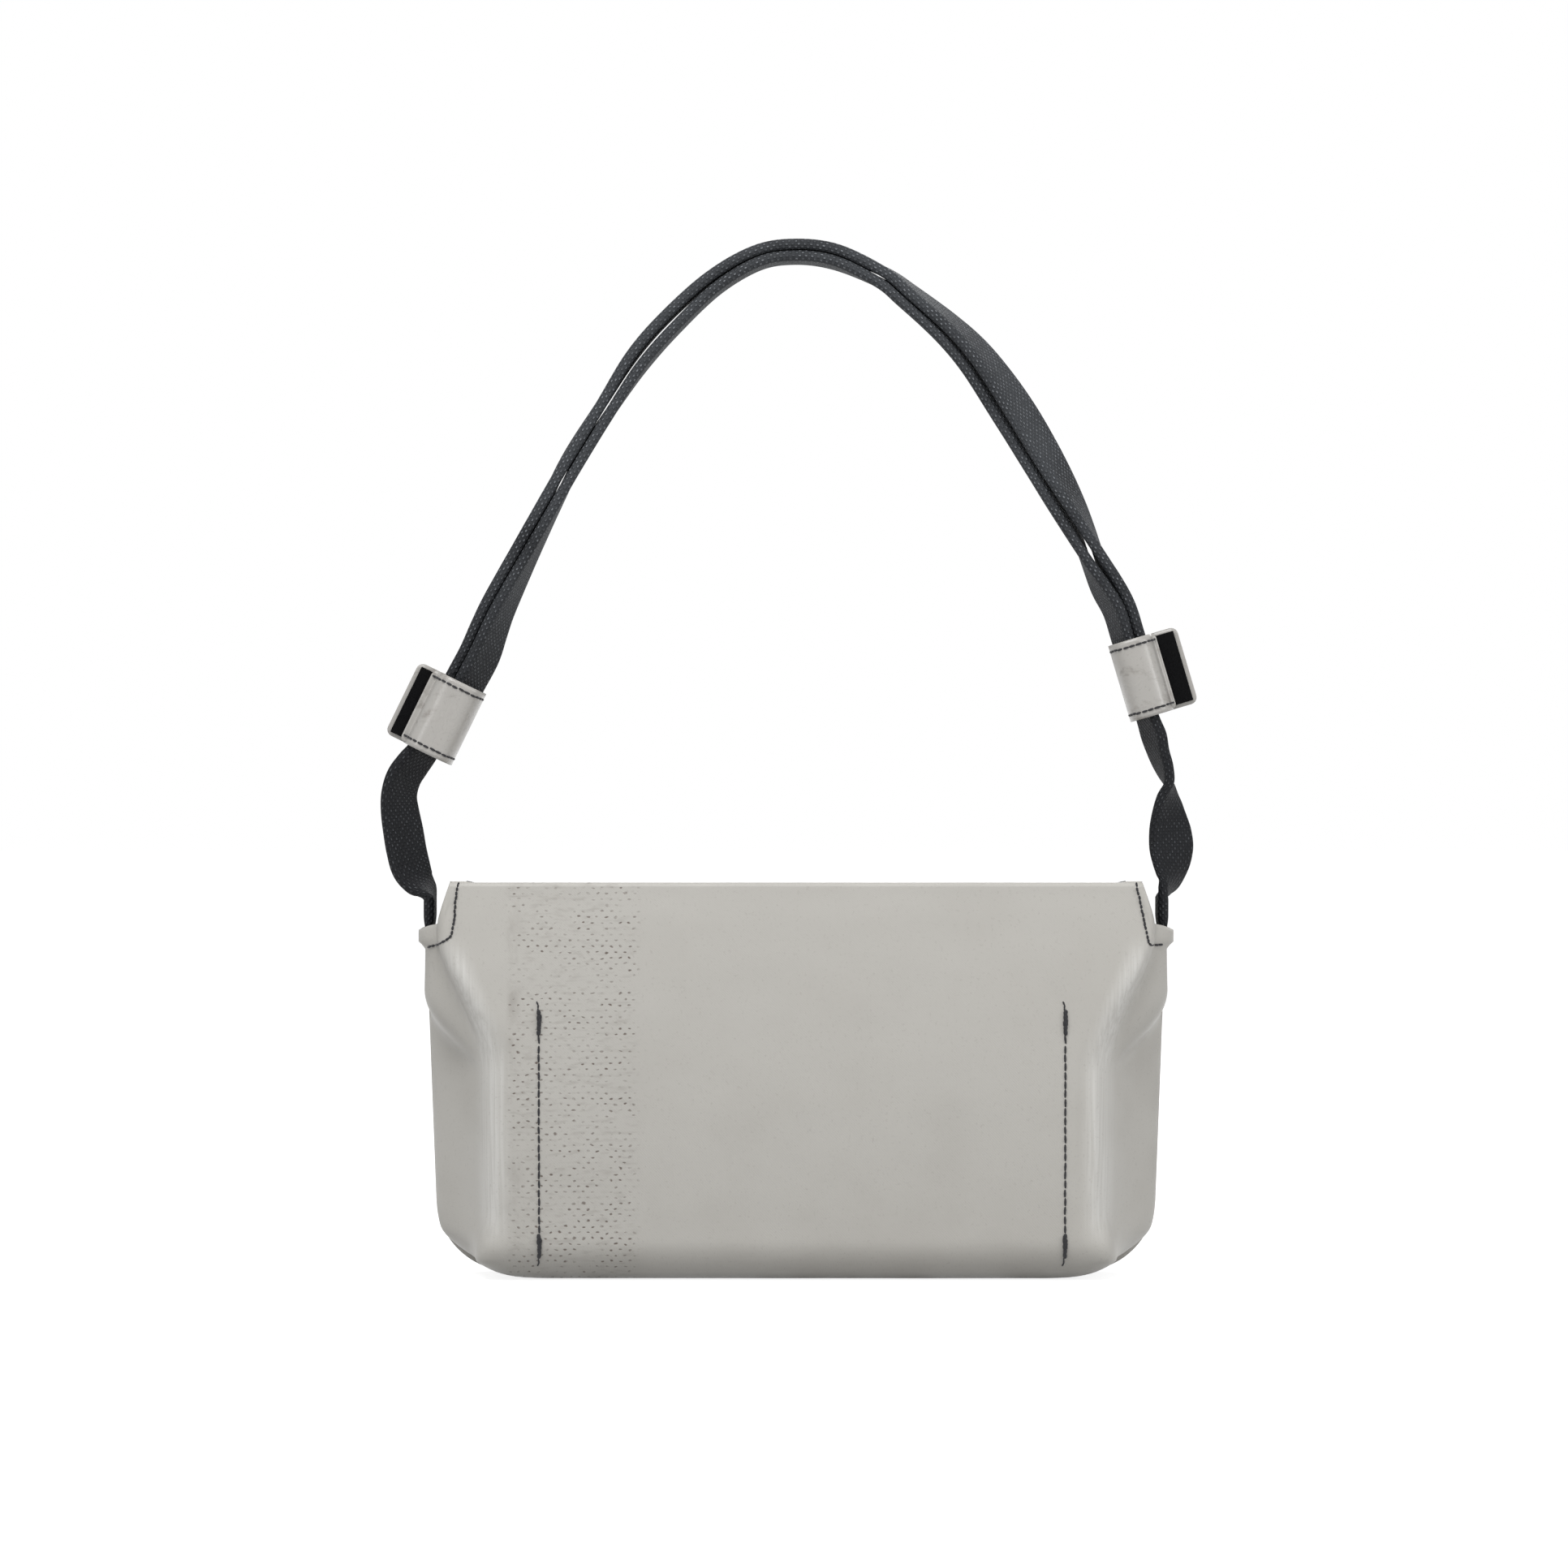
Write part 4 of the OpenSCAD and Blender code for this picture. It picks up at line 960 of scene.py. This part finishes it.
def strand(name, side):
    """One strand: its pressed sewn end, its turn at the pivot and its run over the arch."""
    i = np.linspace(0, CUFF_LAST - 0.4, 330)
    i = i if side < 0 else LAST - np.linspace(0, LAST - CUFF_FIRST - 0.4, 350)
    p, a, b = route_at(i), route_at(np.maximum(i - 0.05, 0)), route_at(np.minimum(i + 0.05, LAST))
    t = (b - a)[:, :2] / np.linalg.norm((b - a)[:, :2], axis=1)[:, None]
    turn = np.radians(p[:, 2:3])
    n = np.stack([-t[:, 1], 0 * i, t[:, 0]], -1)
    face = np.cos(turn) * n + np.sin(turn) * [0, -1, 0]
    broad = np.sin(turn) * n + np.cos(turn) * [0, 1, 0]
    away = ease(i / CUFF_FIRST) if side < 0 else -ease((LAST - i) / (LAST - CUFF_LAST))
    centre = np.stack([p[:, 0], 0 * i, p[:, 1] + PIVOT_H], -1)
    centre = centre + ((STRAND_OFF + p[:, 3]) * away)[:, None] * face
    low = np.linspace(MOUTH_H - TAIL_L, PIVOT_H, 40)[:-1]
    foot = np.stack([side * (TAIL_X - 0.8 * ease((MOUTH_H - low) / 8)), 0 * low, low], -1)
    centre = np.concatenate([foot, centre])
    broad = np.concatenate([broad[:1] + 0 * foot, broad])
    face = np.concatenate([face[:1] + 0 * foot, face])
    press = mix(PRESSED_T, STRAP_T, ease((centre[:, 2] - MOUTH_H + 4) / 9))
    press[len(low):] = STRAP_T
    along = np.concatenate([[0], np.cumsum(np.linalg.norm(np.diff(centre, axis=0), axis=1))])
    soft = 0.25 * noise(7 + side, along, size=14)
    section = tape_section(STRAP_W / 2 + 0 * along, press / 2)
    ring = centre[:, None] + section[..., :1] * broad[:, None] + section[..., 1:] * face[:, None]
    ring = ring + soft[:, None, None] * (section[..., :1] / STRAP_W) ** 2 * face[:, None]
    ring = np.concatenate([ring, ring[:, :1]], 1)
    rows, cols = ring.shape[:2]
    girth = np.concatenate([[0], np.cumsum(np.linalg.norm(np.diff(ring[-1], axis=0), axis=1))])
    uv = np.stack(np.broadcast_arrays(girth[None, :], along[:, None]), -1) * MM
    caps = np.array([np.arange(cols - 1), (rows - 1) * cols + np.arange(cols - 1)[::-1]])
    faces = grid_faces(rows, cols)[:, ::-side].tolist() + caps[:, ::side].tolist()
    thing = welded(make_mesh(name, ring.reshape(-1, 3) * MM, faces, WEBBING, uv.reshape(-1, 2)))
    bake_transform(thing)
    return thing


for label, side in (("left", -1), ("right", 1)):
    dress(strand(label + "_strand", side), [label + "_strap", label + "_strap_tail"], None)

# %% [markdown]
# ## The cuffs' shape
# A cuff is one strip of tarpaulin folded round both strands. Its outline is a superellipse,
# $|x/a|^{2.7} + |y/b|^{2.7} = 1$, an ellipse with squarer shoulders. The strip starts at the back tab,
# goes round the back, folds at the inner side, covers the front and ends in a short lip.

# %% The cuffs' outline
CUFF_SQUARE, CUFF_DEEP, CUFF_L, FIN_Y = 2.7, 24.2, 33, 1.4
CUFFS = {-1: dict(name="left", at=LEFT_AT, lean=LEFT_CUFF_LEAN, w=19.4, lip=2.5, tab=7.0),
         1: dict(name="right", at=RIGHT_AT, lean=-RIGHT_CUFF_LEAN, w=16.4, lip=1.5, tab=9.5)}


def cuff_line(side, grow, low, high, count):
    """Points (x, y) of the superellipse between two angles, grow outside its inner wall."""
    a = np.linspace(low, high, count)
    power = 2 / CUFF_SQUARE
    half_w, half_d = CUFFS[side]["w"] / 2 + grow, CUFF_DEEP / 2 + grow
    return np.stack([np.sign(np.cos(a)) * half_w * np.abs(np.cos(a)) ** power,
                     np.sign(np.sin(a)) * half_d * np.abs(np.sin(a)) ** power], -1)


def from_cuff(side, local):
    """Cuff coordinates to the bag's: mirrored on the right, leaned in X and Z, moved onto the strap."""
    a, at = np.radians(CUFFS[side]["lean"]), CUFFS[side]["at"]
    x, y, z = -side * local[..., 0], local[..., 1], local[..., 2]
    along_x, along_z = x * np.cos(a) + z * np.sin(a), z * np.cos(a) - x * np.sin(a)
    return np.stack([along_x + at[0], y, along_z + at[1] + PIVOT_H], -1)


def cuff_outline(side):
    """The strip's outer face in section: tab, back, fold, front and lip. Its steps are close at the
    tab's end, where the corners are round."""
    cuff = CUFFS[side]
    edge = cuff["w"] / 2 + TARP_T + cuff["lip"]
    start = np.arcsin(((FIN_Y + TARP_T) / (CUFF_DEEP / 2 + TARP_T)) ** (CUFF_SQUARE / 2))
    tube = cuff_line(side, TARP_T, np.pi - start, start - np.pi, 1200)
    tab = np.stack([np.linspace(-edge - cuff["tab"], tube[0, 0], 80)[:-1], np.full(79, FIN_Y + TARP_T)], -1)
    lip = np.stack([np.linspace(tube[-1, 0], -edge, 30)[1:], np.full(29, -FIN_Y - TARP_T)], -1)
    line = np.concatenate([tab, tube, lip])
    far = np.concatenate([[0], np.cumsum(np.linalg.norm(np.diff(line, axis=0), axis=1))])
    turn = np.cos(np.linspace(0, np.pi / 2, 12))
    share = np.concatenate([0.15 * (1 - turn)[:-1], np.linspace(0.15, 0.94, 96)[:-1], 1 - 0.06 * turn])
    s = share * far[-1]
    return np.stack([np.interp(s, far, line[:, 0]), np.interp(s, far, line[:, 1])], -1), s, far[-1]


print("strips, in mm:", [round(float(cuff_outline(side)[2]), 1) for side in CUFFS])

# %% [markdown]
# The outline is carried along the cuff, and its first and last columns are shortened to round the
# corners.

# %% The cuffs
def cuff_sheet(side):
    """Sweeps the outline along the cuff. The ends' corners are rounded by shortening the first columns."""
    line, s, length = cuff_outline(side)
    half = CUFF_L / 2 - drawn_in(s, 3.0) - drawn_in(length - s, 2.0)
    w = np.linspace(-1, 1, 21)[:, None]
    z = w * half[None, :]
    patchy = 0.22 * noise(50 + side, s[None, :] + 0 * z, z, size=11) * ease((np.abs(line[None, :, 1]) - 3) / 6)
    flat = np.stack([line[None, :, 0] + 0 * z, line[None, :, 1] * (1 + patchy / 13), z], -1)
    points = from_cuff(side, flat) * MM
    faces = grid_faces(*points.shape[:2])[:, ::side]
    sheet = make_mesh(CUFFS[side]["name"] + "_cuff", points.reshape(-1, 3), faces, CUFF_TARP)
    return thicken(sheet, TARP_T * MM), length


cuff_sheets = {}
for side, cuff in CUFFS.items():
    sheet, length = cuff_sheet(side)
    cuff_sheets[side] = sheet
    name = cuff["name"]
    dress(sheet, [name + "_cuff_wrap", name + "_cuff_cover"], None)
    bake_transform(sheet)

# %% [markdown]
# ## Thread
# A stitch is a short fat arc: it comes out of the cloth, lies on it and goes in again. One function
# makes a whole row of them at once. Rays cast onto the finished sheets tell where the cloth is and which
# way it faces, so every stitch lies on its cloth.

# %% Laying stitches on a cloth
def cast(thing, points, toward):
    """Where rays through points (mm), in the directions toward, meet a thing, and the normals there."""
    tree = BVHTree.FromObject(thing, bpy.context.evaluated_depsgraph_get())
    toward = np.broadcast_to(np.asarray(toward, float), points.shape)
    rays = [tree.ray_cast(Vector((p - 80 * d) * MM), Vector(d)) for p, d in zip(points, toward)]
    hit = np.array([r[0] is not None for r in rays])
    spot = np.array([tuple(r[0]) if r[0] else (0, 0, 0) for r in rays]) / MM
    normal = np.array([tuple(r[1]) if r[1] else (0, 0, 1) for r in rays])
    return spot, normal * -np.sign((normal * toward).sum(1, keepdims=True)), hit


def dashes(line, pitch, share, seed):
    """Starts and ends of evenly spaced dashes along a line of points, a little uneven."""
    line = np.asarray(line, float)
    far = np.concatenate([[0], np.cumsum(np.linalg.norm(np.diff(line, axis=0), axis=1))])
    count = max(1, round(far[-1] / pitch))
    step = far[-1] / count
    draw = np.random.default_rng(seed)
    first = (np.arange(count) + (1 - share) / 2) * step + draw.uniform(-0.05, 0.05, count) * step
    ends = [np.stack([np.interp(s, far, line[:, k]) for k in range(line.shape[1])], -1)
            for s in (first, first + share * step)]
    return ends


def row_on(thing, line, toward, pitch, share, seed):
    """Stitches along a line, laid onto a thing by rays: (starts, ends, normals)."""
    draw = np.random.default_rng(seed + 90)
    toward = np.broadcast_to(np.asarray(toward, float), np.shape(line))
    both = []
    for ends in dashes(np.concatenate([line, toward], 1), pitch, share, seed):
        spot = ends[:, :3] + draw.normal(0, 0.08, (len(ends), 3))
        both.append(cast(thing, spot, ends[:, 3:] / np.linalg.norm(ends[:, 3:], axis=1)[:, None]))
    hit = both[0][2] & both[1][2]
    normal = both[0][1] + both[1][1]
    normal = normal / np.linalg.norm(normal, axis=1)[:, None].clip(1e-6)
    return both[0][0][hit], both[1][0][hit], normal[hit]


RINGS, SIDES = 9, 8


def stitches(name, rows, radius=0.45):
    """One mesh of all the stitches of some rows. A row is (starts, ends, normals) and maybe its own radius.

    Along a stitch s runs from -1 to 1. It lifts by radius * (0.9 (1 - s^4) - 0.35), its radius shrinks by
    1 - 0.6 s^6 to the ends, and its section is slightly oval and turns with s, like a twisted cord."""
    parts = [row if len(row) == 4 else (*row, radius) for row in rows]
    start, end, normal = (np.concatenate([np.asarray(p[k], float) for p in parts]) for k in range(3))
    size = np.concatenate([np.full(len(p[0]), p[3]) for p in parts])[:, None, None]
    s = np.linspace(-1, 1, RINGS)[None, :, None]
    a = np.linspace(0, 2 * np.pi, SIDES, endpoint=False)
    along = end - start
    cross = np.cross(normal, along / np.linalg.norm(along, axis=1)[:, None].clip(1e-6))
    centre = (start + end)[:, None] / 2 + s * along[:, None] / 2
    centre = centre + normal[:, None] * size * (0.9 * (1 - s ** 4) - 0.35)
    wide = (size * (1 - 0.6 * s ** 6))[..., None] * (1 + 0.1 * np.cos(2 * a + 5 * s)[..., None])
    spoke = np.cos(a)[:, None] * cross[:, None, None] + np.sin(a)[:, None] * normal[:, None, None]
    ring = centre[:, :, None] + wide * spoke
    first = np.arange(len(start))[:, None, None] * RINGS * SIDES
    quads = (grid_faces(RINGS, SIDES, closed=True)[None] + first).reshape(-1, 4)
    round_once = np.arange(SIDES)
    caps = np.array([round_once[::-1], (RINGS - 1) * SIDES + round_once])
    caps = (caps[None] + first).reshape(-1, SIDES)
    return make_mesh(name, ring.reshape(-1, 3) * MM, quads.tolist() + caps.tolist(), THREAD)


print("a stitch has", RINGS * SIDES, "points")

# %% [markdown]
# The two long rows on the back hold the inner pocket. On the real bag a machine sews them with heavy
# thread and goes back and forth at each end, which makes a thick bartack. Here a tack is a few fat,
# overlapping stitches on a wavy line, and a thin loose thread end hangs from each.

# %% The pocket's seams
BACKWARD, FORWARD = (0, 1, 0), (0, -1, 0)
SEAM_LOW, SEAM_HIGH, TACK_L = POCKET_LOW + 1.5, POCKET_TOP - 2, 10.5
LOOSE_END = [(0, 0), (-0.5, 1.6), (-0.2, 3), (-1.0, 4.4)]


def pocket_seam(name, side):
    """A row of long stitches with a knotted bartack at each end and a loose thread end at each tack."""
    x = POCKET_SHIFT + side * POCKET_W / 2
    line = np.array([(x, 0, SEAM_LOW + TACK_L), (x, 0, SEAM_HIGH - TACK_L)])
    rows = [row_on(body, line, BACKWARD, STITCH, 0.92, 3)]
    for low, seed in ((SEAM_LOW, 5), (SEAM_HIGH - TACK_L, 6)):
        knots = np.array([(x + 0.35 * np.sin(k * 2.1 + side), 0, low + k * TACK_L / 6) for k in range(7)])
        rows.append((*row_on(body, knots, BACKWARD, 2.4, 1.5, seed), 0.82))
        rows.append((*row_on(body, knots[2:6] + (0.4, 0, 0), BACKWARD, 2.0, 1.4, seed), 0.75))
    for end, way in ((SEAM_HIGH - 1, 1), (SEAM_LOW + 1, -1)):
        tail = np.array([(x + dx, 0, end + way * dz) for dx, dz in LOOSE_END])
        rows.append((*row_on(body, tail, BACKWARD, 1.6, 1.25, 8), 0.33))
    return stitches(name, rows)


for label, side in (("left", -1), ("right", 1)):
    dress(pocket_seam("pocket_thread_" + label, side), "pocket_seam_" + label, "bag")
print("pocket seam from", SEAM_LOW, "to", SEAM_HIGH, "mm up")

# %% [markdown]
# The other rows follow the edges of their cloths: down both side seams, round the flap a hem's width
# inside its edge, round each sewn strap end, and along both edges of each cuff's cover.

# %% The other rows
def seam_rows(side):
    """The side seam shows on both of its cloths: on the front panel and behind on the gusset's allowance."""
    z = np.linspace(12, MOUTH_H - 3, 60)
    line = np.stack([side * (seam_x(z) - SEAM_W / 2), 0 * z, z], -1)
    start, end = dashes(line, STITCH, 0.76, 11)
    behind, out = np.array([0, FRONT_Y - TARP_T, 0]), np.zeros_like(start) + [0, -1, 0]
    return [row_on(front, line, FORWARD, STITCH, 0.76, 12), (start + behind, end + behind, out)]


def flap_line():
    """The row round the flap, a hem's width inside its edge: points and the directions into the cloth."""
    f = np.linspace(0.12, 3 - (FLAP_CORNER + 1) / (DROP_TOP - FLAP_LOW), 90)
    y, z = flap_path(f)
    down = np.clip(f - 1, 0, 1) * np.pi / 2
    side = np.stack([flap_half(f) - SEAM_W, y, z, 0 * f, -np.sin(down), -np.cos(down)], -1)
    a = np.linspace(0, np.pi / 2, 14)[1:]
    r, x, low = FLAP_CORNER - SEAM_W, side[-1, 0] - FLAP_CORNER + SEAM_W, side[-1, 2]
    x, z = x + r * np.cos(a), low - 1 - r * np.sin(a)
    corner = np.stack([x, FLAP_Y + 0 * a, z, 0 * a, 0 * a - 1, 0 * a], -1)
    half = np.concatenate([side, corner])
    line = np.concatenate([half, half[::-1] * [-1, 1, 1, 1, 1, 1]])
    return line[:, :3], line[:, 3:]


def tail_box(side):
    """Four rows of a box stitch round the sewn strap end, on the outside of the gusset."""
    half, low, high = STRAP_W / 2 - 4, MOUTH_H - TAIL_L + 4, MOUTH_H - 6
    corners = [(-half, low), (half, low), (half, high), (-half, high), (-half, low)]
    lines = [np.array([(0, *a), (0, *b)], float) for a, b in zip(corners, corners[1:])]
    return [row_on(body, line, (-side, 0, 0), 3.4, 0.78, 14) for line in lines]


CUFF_ROW = 13.7


def cuff_rows(side):
    """Two rows along the cover's own outline, from the fold to the lip, near its upper and lower edges."""
    line = cuff_outline(side)[0]
    step = np.gradient(line, axis=0)
    out = np.stack([-step[:, 1], step[:, 0]], -1) / np.linalg.norm(step, axis=1)[:, None]
    keep = (line[:, 1] < -2.3) & (line[:, 0] > line[-1, 0] + 0.7)
    rows = []
    for z in (-CUFF_ROW, CUFF_ROW):
        spot, way = (np.insert(v[keep], 2, height, axis=1) for v, height in ((line, z), (out, 0)))
        toward = from_cuff(side, np.zeros(3)) - from_cuff(side, way)
        rows.append(row_on(cuff_sheets[side], from_cuff(side, spot), toward, 2.9, 0.97, 15))
    return rows


print("stitches round a strap end:", sum(len(row[0]) for row in tail_box(1)))

# %% [markdown]
# Now the rows become pieces. Each row's numbers are its pitch in mm, the share of the pitch that a stitch
# takes, and the seed of its small irregularities.

# %% All thread pieces
EAR_LEFT = [(-139, 164), (-140.1, 156.7), (-140.4, 149), (-141, 146.3), (-141.8, 142), (-144.3, 140.2),
            (-147.7, 138.5), (-152.3, 137.2)]
EAR_RIGHT = [(139.7, 164), (142.0, 153.3), (143.8, 144), (145.0, 138.4), (151.3, 138.4)]

for label, side in (("left", -1), ("right", 1)):
    seam = stitches("side_thread_" + label, seam_rows(side))
    dress(seam, "side_seam_" + label, "bag")
    box = stitches("tail_thread_" + label, tail_box(side), 0.4)
    dress(box, label + "_tail_stitches", "bag")
    rows = stitches("cuff_thread_" + label, cuff_rows(side), 0.46)
    dress(rows, label + "_cuff_stitches", label + "_cover")
mouth_line = np.array([(-136, 0, MOUTH_H - SEAM_W), (136, 0, MOUTH_H - SEAM_W)], float)
mouth_rows = [row_on(front, mouth_line, FORWARD, STITCH, 0.76, 16)]
dress(stitches("mouth_thread", mouth_rows), "mouth_hem_stitches", "bag")
foot_line = [(x, FRONT_Y - SEAM_W / 2, PANEL_LOW + TARP_T) for x in (-118, 118)]
foot = dashes(foot_line, STITCH, 0.76, 1)
foot_rows = [(*foot, np.zeros_like(foot[0]) + [0, 0, 1])]
dress(stitches("foot_thread", foot_rows), "bottom_seam", "bag")
flap_rows = [row_on(flap, *flap_line(), 3.3, 0.85, 17)]
dress(stitches("flap_thread", flap_rows, 0.34), "flap_hem_stitches", "flap")
ears = [row_on(body, [(x, 0, z) for x, z in line], BACKWARD, 1.8, 1.0, 18) for line in (EAR_LEFT, EAR_RIGHT)]
ear_thread = stitches("ear_thread", ears, 0.48)
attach(ear_thread, "bag")
print("stitches on the ears:", sum(len(row[0]) for row in ears))

# %% [markdown]
# ## Tapes and patches
# The hook and loop tapes and the patches behind the strap ends keep their construction shapes. They only
# get their finishes.

# %% Tapes and patches
KEPT = {"closure_loop_strips": LOOP_TAPE, "closure_hook_strips": HOOK_TAPE, "left_cuff_hook": HOOK_TAPE,
        "right_cuff_hook": HOOK_TAPE, "left_cuff_loop": LOOP_TAPE, "right_cuff_loop": LOOP_TAPE,
        "left_tail_patch": CLEAN_TARP, "right_tail_patch": CLEAN_TARP}
for node, material in KEPT.items():
    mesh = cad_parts[node].data
    mesh.materials.clear()
    mesh.materials.append(material)
    mesh.polygons.foreach_set("material_index", np.zeros(len(mesh.polygons), np.int32))
print("kept construction nodes:", len(KEPT))
